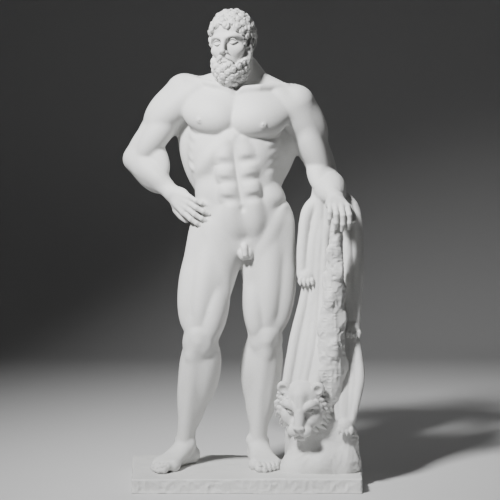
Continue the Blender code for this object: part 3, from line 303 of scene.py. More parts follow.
    def surface(self):
        """Points and four-sided faces of the closed skin where the distance is zero."""
        self.settle()
        depth, inside = self.depth, self.depth < 0
        cells_each_way = tuple(n - 1 for n in depth.shape)
        corners = [(i, j, k) for i in (0, 1) for j in (0, 1) for k in (0, 1)]
        tally = np.zeros(cells_each_way, np.uint8)
        for corner in corners:
            tally += inside[tuple(slice(c, n + c) for c, n in zip(corner, cells_each_way))]
        crossed = (tally > 0) & (tally < 8)
        cells = np.argwhere(crossed)
        total, hits = np.zeros((len(cells), 3)), np.zeros(len(cells))
        for corner in corners:
            for axis in range(3):
                if corner[axis]:
                    continue
                first = depth[tuple((cells + corner).T)].astype(float)
                second = depth[tuple((cells + corner + np.eye(3, dtype=int)[axis]).T)].astype(float)
                crosses = (first < 0) != (second < 0)
                total += crosses[:, None] * np.array(corner)
                total[:, axis] += np.where(crosses, first / np.where(crosses, first - second, 1), 0)
                hits += crosses
        points = self.low + self.step * (cells + total / hits[:, None])
        number = np.full(cells_each_way, -1, np.int32)
        number[crossed] = np.arange(len(cells), dtype=np.int32)
        faces = []
        for axis in range(3):
            u, v = (axis + 1) % 3, (axis + 2) % 3
            change = np.diff(inside.astype(np.int8), axis=axis)
            edges = np.argwhere(change)
            ring = []
            for du, dv in ((-1, -1), (0, -1), (0, 0), (-1, 0)):
                cell = edges.copy()
                cell[:, u] += du
                cell[:, v] += dv
                ring.append(number[tuple(cell.T)])
            ring = np.stack(ring, axis=1)
            leaving = change[tuple(edges.T)] < 0
            ring[~leaving] = ring[~leaving][:, ::-1]
            faces.append(ring)
        return points, np.concatenate(faces)


# Pose, in cm of the man, with z from the sole
HIP = {LEFT: (12.6, 1.0, 95.5), RIGHT: (-6.8, 0.0, 92.0)}
KNEE = {LEFT: (12.2, -0.5, 51.0), RIGHT: (-13.5, -9.0, 50.5)}
ANKLE = {LEFT: (9.0, 4.5, 8.6), RIGHT: (-20.0, 1.5, 9.0)}
TOES = {LEFT: unit((0.20, -0.98, 0)), RIGHT: unit((-0.52, -0.85, 0))}
PELVIS = Place((3.0, 1.0, 97.0), turned(yaw=-4, roll=-8))
CHEST = Place((0.2, 0.8, 130.5), turned(yaw=-8, pitch=-3, roll=5))
HEAD = Place((-1.2, -3.6, 166.5), turned(yaw=-20, pitch=6, roll=-2))
SHOULDER = {LEFT: CHEST.at(22.5, 1.5, 14.5), RIGHT: CHEST.at(-22.5, 1.5, 16.0)}
ELBOW = {LEFT: np.array((36.0, 7.5, 114.5)), RIGHT: np.array((-40.0, 10.0, 122.0))}
WRIST = {LEFT: np.array((38.5, -15.0, 104.5)), RIGHT: np.array((-24.5, 0.5, 107.5))}

# Places of the support, worked out from the driving sizes, in cm of the man
CALF_SIDE = 17.0
ROCK_LEFT = CALF_SIDE + ROCK_GAP / CM
ROCK_RIGHT = ROCK_LEFT + ROCK_WIDTH / CM
ROCK_BACK = 19.0
ROCK_FRONT = ROCK_BACK - ROCK_DEPTH / CM
ROCK_TOP = ROCK_HEIGHT / CM
ROCK_MIDDLE = (ROCK_LEFT + ROCK_RIGHT) / 2
FOOT_REACH = 23.5         # from the ankle to past the longest toe
TOE_LEFT = ANKLE[RIGHT][0] + TOES[RIGHT][0] * FOOT_REACH - 3.0
TOE_FRONT = min(ANKLE[side][1] + TOES[side][1] * FOOT_REACH for side in SIDES)
MARGIN = PLINTH_MARGIN / CM
PLINTH_FRONT = min(TOE_FRONT, ROCK_FRONT - 3.0) - PLINTH_APRON / CM
SPLAY = PLINTH_SPLAY / CM
PLINTH_LOW = np.array((TOE_LEFT - MARGIN - SPLAY, PLINTH_FRONT, -PLINTH_HEIGHT / CM))
PLINTH_HIGH = np.array((ROCK_RIGHT + MARGIN, ROCK_BACK + MARGIN, 0.0))
CLUB_TOP = np.array((38.9, -20.6, 99.4))
CLUB_FOOT = np.array((ROCK_MIDDLE + 1.0, -12.5, ROCK_TOP - 3.0))
MASK = Place((ROCK_LEFT + 4.5, ROCK_FRONT + 0.6, ROCK_TOP - 8.0), turned(yaw=-14, pitch=22))


# Trunk
def trunk(clay):
    clay.ball(CHEST.at(0, 1.0, 0), (17.6, 12.4, 21.5), 0, CHEST.axes)
    clay.ball(CHEST.at(0, 2.0, 12.5), (20, 9.2, 9.0), 5, CHEST.axes)
    waist = (CHEST.at(0, 0, -20) + PELVIS.at(0, 0, 6)) / 2
    clay.ball(waist + 0.4 * UP, (15.2, 11.6, 17), 5)
    clay.ball(PELVIS.at(0, 0.5, -2), (16.4, 11.0, 11.5), 5, PELVIS.axes)
    back(clay)
    ribs(clay)
    breast(clay)
    hips(clay)


def back(clay):
    for side in SIDES:
        to_back = CHEST.way(0, 1, 0)
        # broad muscle of the back, then the column beside the spine
        clay.muscle(CHEST.at(21 * side, 4.5, 13), CHEST.at(9 * side, 6, -25), 7.0, 8.6,
                    CHEST.way(side, 0.6, 0), 4)
        clay.muscle(CHEST.at(3.6 * side, 11.0, 8), PELVIS.at(3.8 * side, 8.8, 4), 3.5, 3.4, to_back, 2.5)
        # shoulder blade and the muscle under it
        blade = CHEST.axes @ turned(yaw=18 * side, roll=-14 * side)
        clay.ball(CHEST.at(11.5 * side, 9.4, 9), (8.6, 4.4, 8.5), 2.5, blade)
        clay.muscle(CHEST.at(7 * side, 12.5, 2), CHEST.at(21 * side, 6, 11), 3.4, 3.0, to_back, 2)
        # hood muscle from the neck to the shoulder and down the back
        clay.rod(CHEST.line([(2.4, 3.0, 29), (6.6, 4.0, 22.6), (19, 2.5, 18.6)], side), [3.4, 4.6, 3.4], 4)
        clay.muscle(CHEST.at(1.5 * side, 9, 22), CHEST.at(2.5 * side, 12.2, -6), 4.4, 3.0, to_back, 2.5)
    furrow = [CHEST.at(0, 15.6, 14), CHEST.at(0, 16.0, 0), CHEST.at(0, 14.8, -16), PELVIS.at(0, 14.0, 4)]
    clay.rod(furrow, [1.6, 1.9, 2.2, 2.2], 2.5, cut=True)


def ribs(clay):
    for side in SIDES:
        flank = CHEST.axes @ turned(roll=14 * side)
        clay.ball(CHEST.at(8.2 * side, -1.2, -9.0), (8.6, 9.5, 11.5), 4, flank)
        # the arch of the ribs over the belly
        arch = [(1.2, -11.6, -3.0), (5.6, -11.0, -8.5), (10.2, -7.9, -14.4), (12.6, -3.4, -17.0)]
        clay.bow(CHEST.line(arch, side), [1.3, 1.4, 1.1, 0.5], 4.2)
        # saw-tooth muscle along the side
        for row in range(5):
            start = CHEST.at((13.0 + 0.25 * row) * side, -8.4 + 0.5 * row, -0.5 - 3.7 * row)
            end = CHEST.at((17.6 - 0.4 * row) * side, -0.5 + 0.4 * row, 4.0 - 3.7 * row)
            clay.muscle(start, end, 1.8, 2.0, CHEST.way(side, -0.5, 0), 1.1)


def breast(clay):
    for side in SIDES:
        # four bundles that fan from the breast bone to the arm, worked apart to keep their lower edge
        plate = clay.apart(CHEST.at(0, 0, 8) - 30, CHEST.at(0, 0, 8) + 30)
        bundles = (((2.6, -9.0, 14.2), (22.5, -2.2, 12.6), 4.4, 3.8),
                   ((1.9, -10.4, 9.6), (22.0, -3.4, 10.4), 4.9, 4.7),
                   ((2.2, -10.9, 4.6), (20.8, -4.4, 8.0), 4.7, 4.9),
                   ((3.6, -10.4, 1.6), (18.6, -5.0, 5.4), 3.7, 4.4))
        for (x, y, z), (far_x, far_y, far_z), wide, deep in bundles:
            plate.muscle(CHEST.at(x * side - 3 * side, y + 1.2, z), CHEST.at(far_x * side, far_y, far_z),
                         wide, deep, CHEST.way(0.25 * side, -1, 0), 3.6)
        plate.ball(CHEST.at(9.6 * side, -8.9, 5.4), (8.6, 5.2, 6.0), 4.0,
                   CHEST.axes @ turned(yaw=20 * side, roll=-12 * side))
        clay.join(plate, 0.9)
        # collar bone
        clay.rod(CHEST.line([(1.6, -8.8, 17.2), (9, -8.4, 18.6), (18, -2.6, 20.6)], side), [1.2, 1.1, 1.3],
                 2.4)
        clay.ball(CHEST.at(12.4 * side, -13.2, 3.4), (1.2, 0.5, 1.2), 0.8, CHEST.axes)
        clay.ball(CHEST.at(12.4 * side, -13.7, 3.4), (0.5, 0.5, 0.5), 0.4, CHEST.axes)
    clay.rod(CHEST.line([(0, -15.4, 14), (0, -16.2, 6), (0, -15.4, -2)]), [1.1, 1.3, 1.0], 1.6, cut=True)


def midline(height):
    """Where the front middle of the trunk runs, from the tilted hips up to the chest."""
    low, high = PELVIS.at(0, 0, -8), CHEST.at(0, 0, -4)
    share = (height - low[2]) / (high[2] - low[2])
    return low[0] + (high[0] - low[0]) * share * share * (3 - 2 * share)


def belly(clay):
    # the low round belly and the flanks that hang over the hips, with one crisp edge below
    low_belly = clay.apart(PELVIS.at(0, 0, 4) - 24, PELVIS.at(0, 0, 4) + 24)
    low_belly.ball(PELVIS.at(0, -4.4, 1.6), (14.6, 8.9, 11.2), 0, PELVIS.axes)
    for side in SIDES:
        flank = PELVIS.axes @ turned(yaw=14 * side, roll=12 * side)
        low_belly.ball(PELVIS.at(10.6 * side, 0.0, 6.8), (7.4, 10.4, 6.2), 2.6, flank)
    clay.join(low_belly, 0.8)
    for side in SIDES:
        clay.ball(PELVIS.at(10.4 * side, -0.2, 12.4), (5.6, 9.0, 8.0), 4.0, PELVIS.axes)
    # the two upright columns of the belly muscle, which swell between the furrows across them
    columns = clay.apart(PELVIS.at(0, 0, 14) - 26, PELVIS.at(0, 0, 14) + 26)
    swells = ((126.0, -9.6, 2.9), (122.2, -9.5, 3.9), (118.8, -9.5, 3.5), (115.4, -9.5, 4.2),
              (111.8, -9.6, 3.6), (108.2, -9.6, 4.3), (104.6, -9.6, 3.8), (100.5, -9.2, 4.2),
              (95.5, -8.0, 4.1), (90.5, -6.0, 3.4))
    for side in SIDES:
        line = [(midline(height) + side * (radius - 0.1), depth, height + 0.5 * side)
                for height, depth, radius in swells]
        columns.bow(line, [radius for _, _, radius in swells], 0.7)
    clay.join(columns, 1.5)
    for side in SIDES:
        for height in (118.8, 111.8, 104.6):
            furrow = [(midline(height) + out * side, -14.3 + 0.16 * out, height + 0.5 * side + 0.12 * out)
                      for out in (1.0, 4.2, 8.4)]
            clay.bow(furrow, [0.6, 0.9, 0.5], 2.2, cut=True)
    navel = 101.4
    clay.ball((midline(navel), -13.3, navel), (0.8, 1.7, 1.2), 1.2, cut=True)


def hips(clay):
    for side in SIDES:
        clay.ball(PELVIS.at(8.6 * side, 6.6, -7.5), (8.8, 7.6, 9.8), 3.0,
                  PELVIS.axes @ turned(roll=12 * side))
        clay.ball(PELVIS.at(13.0 * side, 2.0, -1.5), (5.4, 8.4, 9.0), 4.0, PELVIS.axes)
    clay.ball(PELVIS.at(0, -5.8, -9.4), (4.6, 4.4, 4.2), 2.0, PELVIS.axes)
    clay.rod(PELVIS.line([(0, 14.4, -1), (0, 15.6, -8), (0, 13.0, -16)]), [0.6, 0.9, 0.9], 1.4, cut=True)


def groin(clay):
    for side in SIDES:
        clay.ball(PELVIS.at(1.0 * side, -9.2, -13.3), (1.9, 1.9, 2.4), 0.8, PELVIS.axes)
    clay.rod(PELVIS.line([(0, -9.2, -9.6), (0, -11.2, -11.2), (0, -11.5, -13.6)]), [1.3, 1.2, 1.0], 0.6)


# Legs
def leg(clay, side):
    toes = TOES[side]
    thigh = Bone(HIP[side], KNEE[side], toes + 2 * FRONT, side)
    shin = Bone(KNEE[side], ANKLE[side], toes, side)
    upper_leg(clay, thigh)
    knee(clay, thigh, shin)
    lower_leg(clay, shin)
    foot(clay, side)


def upper_leg(clay, thigh):
    at, front, outer = thigh.at, thigh.front, thigh.outer
    clay.bow([at(0), at(0.55), at(1)], [10.2, 8.8, 5.6], 4)
    # three front muscles, then the inner mass
    clay.muscle(at(0.0, 4.4, 1.2), at(0.93, 4.6, 0.4), 5.3, 5.6, front, 1.0)
    clay.muscle(at(0.06, 2.2, 6.3), at(0.96, 2.5, 4.4), 5.3, 6.3, outer, 0.9)
    clay.muscle(at(0.42, 3.0, -4.7), at(1.01, 3.0, -4.2), 4.6, 5.1, front, 0.8)
    clay.muscle(at(-0.04, 1.0, -4.4), at(0.66, 0, -3.2), 5.7, 6.7, front, 2.5)
    # two back muscles
    for across in (2.6, -2.7):
        clay.muscle(at(0.02, -5.0, across), at(1.03, -3.6, across * 1.05), 4.5, 4.8, front, 1.5)
    # long strap from the hip bone across to the inner knee, and the muscle beside its top
    clay.bow([at(-0.14, 7.0, 5.4), at(0.10, 7.8, 0.6), at(0.40, 4.6, -6.1), at(0.75, 0.4, -7.3),
              at(1.02, -1.2, -5.1)],
             [1.6, 1.9, 1.8, 1.8, 1.3], 2.0)
    clay.muscle(at(-0.20, 4.8, 6.2), at(0.36, 4.2, 7.3), 3.3, 3.9, outer, 2.2)


def knee(clay, thigh, shin):
    clay.ball(thigh.at(1.0, 0.8, 0), (5.4, 5.0, 5.2), 2)
    cap = thigh.at(0.985, 5.2, -0.1)
    clay.ball(cap, (2.9, 1.9, 3.1), 1.2)
    for across in (2.9, -3.1):
        clay.ball(thigh.at(0.90, 3.6, across), (2.1, 1.9, 3.4), 2.8)
        clay.ball(shin.at(0.045, 0.9, across), (2.8, 3.4, 3.4), 2.8)
    clay.rod([cap - 2.4 * UP, shin.at(0.13, 4.2, 0)], [1.6, 1.7], 1.8)


def lower_leg(clay, shin):
    at, front, outer = shin.at, shin.front, shin.outer
    clay.bow([at(0), at(0.3), at(0.7), at(1)], [5.3, 5.7, 4.2, 3.3], 2.5)
    # two heads of the calf, the flat muscle under them, and the front and side muscles
    clay.muscle(at(-0.04, -2.4, 3.1), at(0.54, -3.3, 3.4), 4.7, 5.8, front, 1.1)
    clay.muscle(at(-0.04, -2.4, -3.3), at(0.61, -2.9, -3.8), 5.1, 6.0, front, 1.1)
    clay.muscle(at(0.16, -1.5, 0), at(0.88, -1.9, 0), 6.2, 4.2, front, 1.8)
    clay.muscle(at(0.03, 2.4, 2.7), at(0.78, 1.5, 1.8), 2.9, 3.2, front, 1.0)
    clay.muscle(at(0.04, -0.4, 4.9), at(0.80, -0.8, 3.4), 2.9, 3.1, outer, 1.5)
    # shin bone, heel tendon and ankle bones
    clay.rod([at(0.12, 4.0, -0.3), at(0.5, 3.2, -1.2), at(0.92, 1.6, -1.0)], [1.5, 1.4, 1.5], 2.0)
    clay.rod([at(0.62, -3.5, 0), at(0.85, -3.9, 0), at(1.04, -4.2, 0)], [2.0, 1.4, 1.7], 1.8)
    clay.ball(at(0.985, 0, -2.9), (1.8, 2.0, 2.2), 1.3)
    clay.ball(at(1.01, -0.6, 3.1), (1.7, 1.8, 2.3), 1.3)


def foot(clay, side):
    forward = TOES[side]
    outward = side * np.cross(UP, forward)
    sole = Place((ANKLE[side][0], ANKLE[side][1], 0), np.stack([outward, -forward, UP], axis=1))
    at = sole.at
    clay.ball(at(0, 4.4, 3.4), (3.4, 4.1, 3.7), 2.5, sole.axes)
    clay.rod([at(0, 0.5, 8.0), at(0, -3.0, 5.4)], [3.5, 3.2], 2.5)
    clay.ball(at(0.8, -2.5, 1.9), (3.5, 8.5, 2.2), 2.0, sole.axes)
    clay.ball(at(-3.9, -13.2, 2.2), (2.2, 2.8, 2.2), 1.5, sole.axes)
    clay.ball(at(4.6, -10.6, 1.8), (2.0, 4.0, 1.8), 1.5, sole.axes)
    toe_roots = ((-3.6, -13.4), (-1.3, -14.2), (0.8, -13.8), (2.8, -12.9), (4.6, -11.7))
    toe_tips = (-20.6, -20.9, -19.8, -18.4, -16.8)
    toe_radii = (1.75, 1.25, 1.2, 1.15, 1.15)
    for i, ((x, y), tip, radius) in enumerate(zip(toe_roots, toe_tips, toe_radii)):
        great = i == 0
        # the ray of bone down the instep, then the toe
        clay.rod([at(x * 0.35, -1.5, 6.0), at(x * 0.75, -7.5, 4.3 - 0.25 * i), at(x, y, 2.2)],
                 [2.6, 2.1, 2.3 if great else 1.9], 1.5)
        drift = 0.25 if great else -0.12 * i
        clay.rod([at(x, y, 2.2), at(x + drift / 2, (y + tip) / 2, radius + (0.5 if great else 1.0)),
                  at(x + drift, tip + radius, radius * 0.95)], [radius, radius * 0.9, radius * 0.95], 0.5)
        nail(clay, at(x + drift, tip + radius, radius * 0.95), forward, UP, radius * 0.95)


# Arms
def upper_arm(clay, side, front):
    bone = Bone(SHOULDER[side], ELBOW[side], front, side)
    at = bone.at
    clay.bow([at(0), at(0.5), at(1)], [7.7, 6.5, 4.9], 3)
    # shoulder cap in three heads
    clay.muscle(CHEST.at(14 * side, -4.6, 19.0), at(0.60, 2.8, 2.6), 5.9, 6.0, bone.front, 1.3)
    clay.muscle(CHEST.at(19 * side, 1.0, 21.5), at(0.62, 0, 4.2), 6.8, 6.4, bone.outer, 1.1)
    clay.muscle(CHEST.at(14 * side, 8.0, 17.5), at(0.56, -2.6, 2.6), 5.6, 5.8, bone.front, 1.3)
    # front muscle, two heads behind, and the small one outside
    clay.muscle(at(0.16, 3.9, -0.6), at(1.0, 3.5, -0.3), 5.2, 5.8, bone.front, 0.9)
    for across in (2.1, -2.1):
        clay.muscle(at(0.09, -3.4, across), at(0.89, -3.7, across * 0.9), 4.5, 5.1, bone.front, 1.0)
    clay.muscle(at(0.42, 0.6, 3.4), at(1.06, 0.8, 3.0), 2.7, 3.1, bone.outer, 1.2)
    clay.ball(at(1.0, -2.5, 0), (2.9, 2.9, 3.0), 1.8)


def forearm(clay, side, palm, thumb):
    """palm is the way that the palm faces at the wrist, and thumb the way of the thumb side."""
    elbow = ELBOW[side]
    bone = Bone(elbow, WRIST[side], palm, 1)
    down = unit(bone.span)
    thumb = np.array(thumb, float)
    thumb = unit(thumb - down * (thumb @ down))

    def at(share, to_palm=0.0, to_thumb=0.0):
        return bone.at(share, to_palm) + thumb * to_thumb

    clay.bow([at(0), at(0.3), at(0.8), at(1)], [5.0, 5.4, 3.6, 3.0], 2)
    # the muscle on the thumb side starts up the arm
    start = elbow + (SHOULDER[side] - elbow) * 0.26 + thumb * 1.8
    clay.muscle(start, at(0.68, 0.4, 2.8), 3.8, 4.3, thumb, 1.3)
    clay.muscle(at(-0.04, 2.0, -1.7), at(0.78, 1.8, -1.4), 4.6, 4.7, bone.front, 1.2)
    clay.muscle(at(0.0, -2.2, 0.6), at(0.82, -1.7, 0.4), 4.0, 4.0, bone.front, 1.2)
    clay.muscle(at(-0.02, -0.4, -3.1), at(0.74, -0.4, -2.2), 2.7, 2.9, thumb, 1.3)
    clay.ball(at(1.0), (3.1, 3.1, 3.1), 1.5)
    clay.ball(at(0.97, -1.2, -1.8), (1.3, 1.3, 1.4), 1.0)


KNUCKLES = ((3.3, 9.6), (1.1, 10.0), (-1.1, 9.6), (-3.1, 8.8))
FINGER_BONES = ((4.6, 2.9, 2.4), (5.0, 3.2, 2.5), (4.7, 3.0, 2.4), (3.8, 2.3, 2.2))
FINGER_RADII = (1.12, 1.02, 0.92, 0.74)


def hand(clay, wrist, fingers, palm, thumb_side, bends, thumb):
    """fingers and palm are ways in the room; bends are the degrees at each finger joint."""
    along = unit(fingers)
    palm = np.array(palm, float)
    palm = unit(palm - along * (palm @ along))
    grip = Place(wrist, np.stack([np.cross(palm, along) * thumb_side, palm, along], axis=1))
    at = grip.at
    clay.ball(at(0, 0.2, 5.0), (3.9, 1.7, 5.6), 1.5, grip.axes)
    clay.ball(at(2.6, 1.2, 3.6), (2.1, 1.9, 3.4), 1.2, grip.axes)
    clay.ball(at(-2.6, 1.0, 3.6), (1.6, 1.5, 3.6), 1.2, grip.axes)
    for i, (x, z) in enumerate(KNUCKLES):
        clay.rod([at(x * 0.45, -0.3, 1.2), at(x, -0.3, z)], [1.7, 1.25], 1.0)
        fan = math.radians(4.0 * (1.4 - i))
        slim = 0.88 if i == 3 else 1.0
        spot, angle = np.array([x, -0.2, z]), 0.0
        joints = [at(*spot)]
        for length, bend in zip(FINGER_BONES[i], bends):
            angle += math.radians(bend)
            spot = spot + length * np.array([math.sin(fan) * math.cos(angle), math.sin(angle),
                                             math.cos(fan) * math.cos(angle)])
            joints.append(at(*spot))
        clay.rod(joints, np.array(FINGER_RADII) * slim, 0.35)
        for joint, radius in zip(joints[1:3], FINGER_RADII[1:3]):
            clay.ball(joint - 0.15 * palm, (radius * slim * 1.06,) * 3, 0.3, reach=1)
        nail(clay, joints[-1], joints[-1] - joints[-2], -palm, FINGER_RADII[-1] * slim)
    clay.rod(grip.line(thumb), [1.7, 1.4, 1.15, 0.95], 0.8)


def nail(clay, tip, way, outward, radius):
    """A nail plate at the back of a finger's or toe's tip, with the fold of skin behind it."""
    way = unit(way)
    outward = unit(outward - way * (np.asarray(outward, float) @ way))
    axes = np.stack([np.cross(way, outward), way, outward], axis=1)
    bed = tip + outward * radius * 0.80 + way * radius * 0.15
    clay.ball(bed - way * radius * 0.25, (radius * 0.66, radius * 0.82, radius * 0.17), 0.25, axes, cut=True,
              reach=1)
    clay.ball(bed - outward * radius * 0.06, (radius * 0.60, radius * 0.95, radius * 0.2), 0.08, axes,
              reach=1)


def arms(clay):
    upper_arm(clay, RIGHT, unit((0.35, -1, 0)))
    upper_arm(clay, LEFT, unit((0.1, -1, -0.2)))
    forearm(clay, RIGHT, palm=(0.65, 0.3, -0.7), thumb=(0.4, -0.3, 0.6))
    forearm(clay, LEFT, palm=(0, 0, -1), thumb=(-1, 0, 0))
    on_hip = ((2.0, 0.8, 2.0), (5.0, 1.5, 4.0), (6.2, 2.6, 7.0), (6.4, 3.4, 9.6))
    on_club = ((2.0, 0.8, 2.0), (5.0, 2.0, 3.4), (6.2, 4.0, 6.0), (6.2, 5.6, 8.4))
    hand(clay, WRIST[RIGHT], (0.62, -0.62, -0.48), (0.55, 0.75, -0.1), 1, (8, 22, 16), on_hip)
    hand(clay, WRIST[LEFT], (0.05, -0.9, -0.28), (0, -0.28, -1), -1, (28, 48, 30), on_club)


# Neck and head
def neck(clay):
    clay.rod([CHEST.at(0, 3.0, 17), HEAD.at(0, 2.2, -7)], [8.2, 6.1], 3)
    clay.rod([CHEST.at(0, 5.5, 20), HEAD.at(0, 3.8, -2)], [6.0, 4.6], 3)
    for side in SIDES:
        clay.rod([HEAD.at(5.4 * side, 3.0, -4), CHEST.at(1.4 * side, -5.6, 17.6)], [1.9, 1.4], 1.8)
    clay.ball(CHEST.at(0, -8.9, 18.4), (1.5, 1.3, 1.5), 1.8, CHEST.axes, cut=True)


def head(clay):
    at, line, axes = HEAD.at, HEAD.line, HEAD.axes
    clay.ball(at(0, 1.2, 3.4), (7.5, 9.3, 8.4), 1.5, axes)
    clay.ball(at(0, -2.6, -3.4), (5.7, 6.1, 8.0), 2.2, axes)
    for side in SIDES:
        # jaw, cheek and brow, then the eye in its socket
        clay.rod(line([(5.6, 0.6, -5.0), (4.6, -2.2, -8.6), (1.2, -6.6, -10.6)], side), [1.8, 1.9, 2.0], 1.6)
        clay.ball(at(4.5 * side, -5.2, -2.9), (2.2, 1.9, 1.8), 2.6, axes)
        brow = [(6.3, -4.6, 0.9), (4.6, -7.4, 2.0), (2.2, -8.7, 1.9), (0.4, -8.6, 1.3)]
        clay.bow(line(brow, side), [0.6, 0.75, 0.8, 0.7], 1.9)
        clay.ball(at(3.3 * side, -9.0, -0.1), (2.0, 1.7, 1.25), 0.8, axes, cut=True)
        eye(clay, side)
        clay.ball(at(1.25 * side, -10.0, -4.25), (0.75, 1.05, 0.75), 0.5, axes)
        clay.ball(at(0.75 * side, -10.75, -4.85), (0.32, 0.55, 0.25), 0.2, axes, cut=True)
        ear(clay, side)
    # nose, lips and chin
    clay.rod(line([(0, -8.8, 1.2), (0, -10.4, -1.6), (0, -11.3, -3.5)]), [0.85, 0.85, 1.0], 0.9)
    clay.ball(at(0, -11.2, -3.8), (1.05, 1.0, 0.9), 0.5, axes)
    lip = [(-2.4, -8.6, -6.7), (-0.9, -9.5, -6.3), (0, -9.6, -6.45), (0.9, -9.5, -6.3), (2.4, -8.6, -6.7)]
    clay.bow(line(lip), [0.3, 0.55, 0.5, 0.55, 0.3], 0.4)
    clay.ball(at(0, -9.1, -7.3), (1.9, 0.95, 0.65), 0.4, axes)
    mouth = [(-2.3, -9.3, -6.9), (-1.0, -10.2, -6.8), (0, -10.4, -6.9), (1.0, -10.2, -6.8), (2.3, -9.3, -6.9)]
    clay.bow(line(mouth), [0.1, 0.16, 0.16, 0.16, 0.1], 0.25, cut=True)
    clay.ball(at(0, -7.9, -9.7), (2.0, 1.8, 1.6), 1.0, axes)
    hair(clay)
    beard(clay)


def eye(clay, side):
    """The ball of the eye between two lids, with a crease above."""
    clay.ball(HEAD.at(3.15 * side, -6.75, -0.1), (1.45, 1.45, 1.3), 0.15, HEAD.axes)

    def lid(lift, drop, grow, blend):
        arc = ((1.72, -7.6, -0.25), (2.4, -8.1, lift * 0.8), (3.2, -8.3, lift), (4.1, -7.9, lift * 0.7),
               (4.9, -7.0, drop))
        radii = [part + grow for part in (0.2, 0.28, 0.32, 0.28, 0.22)]
        clay.bow(HEAD.line(arc, side), radii, blend, reach=1)

    lid(0.92, -0.12, 0.0, 0.16)
    lid(-0.80, -0.2, -0.06, 0.2)
    crease = ((1.9, -8.0, 0.9), (3.2, -8.75, 1.35), (4.6, -7.6, 0.95))
    clay.bow(HEAD.line(crease, side), [0.08, 0.16, 0.08], 0.3, cut=True, reach=1)


def ear(clay, side):
    at = HEAD.at
    lean = HEAD.axes @ turned(yaw=20 * side, pitch=8)
    clay.ball(at(7.5 * side, 1.0, -1.2), (0.8, 1.9, 3.0), 0.5, lean)
    rim = ((7.9, -0.4, -0.2), (8.5, -0.1, 1.3), (8.9, 1.3, 1.8), (9.0, 2.6, 0.8), (8.7, 2.7, -1.2),
           (8.1, 1.6, -3.0))
    clay.bow(HEAD.line(rim, side), [0.3, 0.4, 0.42, 0.42, 0.4, 0.4], 0.25, reach=1)
    clay.ball(at(8.5 * side, 0.7, -1.2), (0.6, 0.75, 1.3), 0.35, lean, cut=True)
    clay.ball(at(7.7 * side, 0.5, -3.9), (0.6, 0.85, 0.9), 0.4, HEAD.axes)
    clay.ball(at(7.9 * side, -0.6, -1.5), (0.45, 0.4, 0.6), 0.3, HEAD.axes)


HAIR_MIDDLE, HAIR_RADII = np.array([0, 1.5, 3.2]), np.array([8.3, 10.0, 9.1])
BEARD_MIDDLE, BEARD_RADII = np.array([0, -3.4, -8.8]), np.array([6.7, 7.2, 8.0])


def on_scalp(x, y, z):
    """True behind a line over the forehead and temples, down to the nape, but not on the ear."""
    by_ear = -2.4 < y < 3.2 and -5.4 < z < 2.2 and abs(x) > 5
    burns = -3.9 < y < -1.0 and -5.0 < z < 3.0 and abs(x) > 5
    behind = z > -7.5 and (4.5 * (y + 8.3) + 5.5 * (z - 6.3) > 0 or y > 1.4)
    return burns or (behind and not by_ear)


def on_jaw(x, y, z):
    """True round the jaw and chin, below the cheek and clear of the mouth."""
    by_mouth = abs(x) < 4.4 and y < -4
    return y < 1.2 and z < -4.6 and not (z > -8.8 and by_mouth) and not (z > -6.6 and y < -2.6)


def curls(clay, middle, radii, count, belongs, sizes, seed):
    """Snail curls on the ellipsoid about middle, wherever belongs says so."""
    dice = np.random.default_rng(seed)
    for way in spots(count):
        spot = middle + way * radii
        size, turn, hand = dice.uniform(*sizes), dice.uniform(0, 2 * math.pi), dice.choice((-1, 1))
        if belongs(*spot):
            curl(clay, HEAD.at(*(spot + 0.15 * way)), HEAD.axes @ unit(way / radii), size, turn, hand)


def curl(clay, centre, outward, size, turn, hand):
    """A small mound with a strand wound inwards and up it."""
    across = unit(np.cross(outward, (0.3, 0.2, 1.0)))
    aside = np.cross(outward, across)
    steps = 10
    points, radii = [], []
    for i in range(steps + 1):
        share = i / steps
        angle = turn + hand * share * 2 * math.pi * 1.3
        away = size * (1 - 0.86 * share)
        points.append(centre + (across * math.cos(angle) + aside * math.sin(angle)) * away
                      + outward * size * (0.42 * share + 0.03))
        radii.append(size * (0.27 - 0.03 * share))
    clay.ball(centre - outward * size * 0.35, (size * 0.95,) * 3, 0.1, reach=0.8)
    clay.rod(points, radii, 0.1, reach=0.8)


def hair(clay):
    clay.ball(HEAD.at(0, 2.4, 4.6), (8.0, 9.2, 7.9), 1.0, HEAD.axes)
    clay.ball(HEAD.at(0, 5.0, -0.8), (7.2, 6.2, 6.4), 1.2, HEAD.axes)
    curls(clay, HAIR_MIDDLE, HAIR_RADII, 130, on_scalp, (1.5, 2.0), 11)


def beard(clay):
    line = HEAD.line
    for side in SIDES:
        clay.bow(line([(6.5, 0.2, -3.0), (6.0, -2.0, -7.5), (3.6, -5.0, -11.6)], side), [1.3, 2.2, 2.9], 1.0)
        # three strands of moustache, from under the nose to the beard
        for row in range(3):
            drop = 0.42 * row
            strand = [(0.25, -10.3 + 0.2 * row, -5.25 - 0.5 * drop), (1.8, -10.1, -5.5 - drop),
                      (3.4, -8.9, -6.7 - drop), (4.5, -7.4, -8.4 - 0.5 * drop)]
            clay.bow(line(strand, side), [0.3, 0.42, 0.44, 0.3], 0.12, reach=1)
        # and three tufts under the lip
        for row in range(3):
            tuft = [(0.3, -9.1, -8.3), (0.5 + 0.6 * row, -9.5, -9.4), (0.3 + 0.9 * row, -9.4, -10.9)]
            clay.bow(line(tuft, side), [0.3, 0.5, 0.5], 0.15, reach=1)
    clay.ball(HEAD.at(0, -6.6, -11.6), (4.4, 3.6, 4.3), 1.0, HEAD.axes)
    curls(clay, BEARD_MIDDLE, BEARD_RADII, 110, on_jaw, (1.25, 1.75), 5)


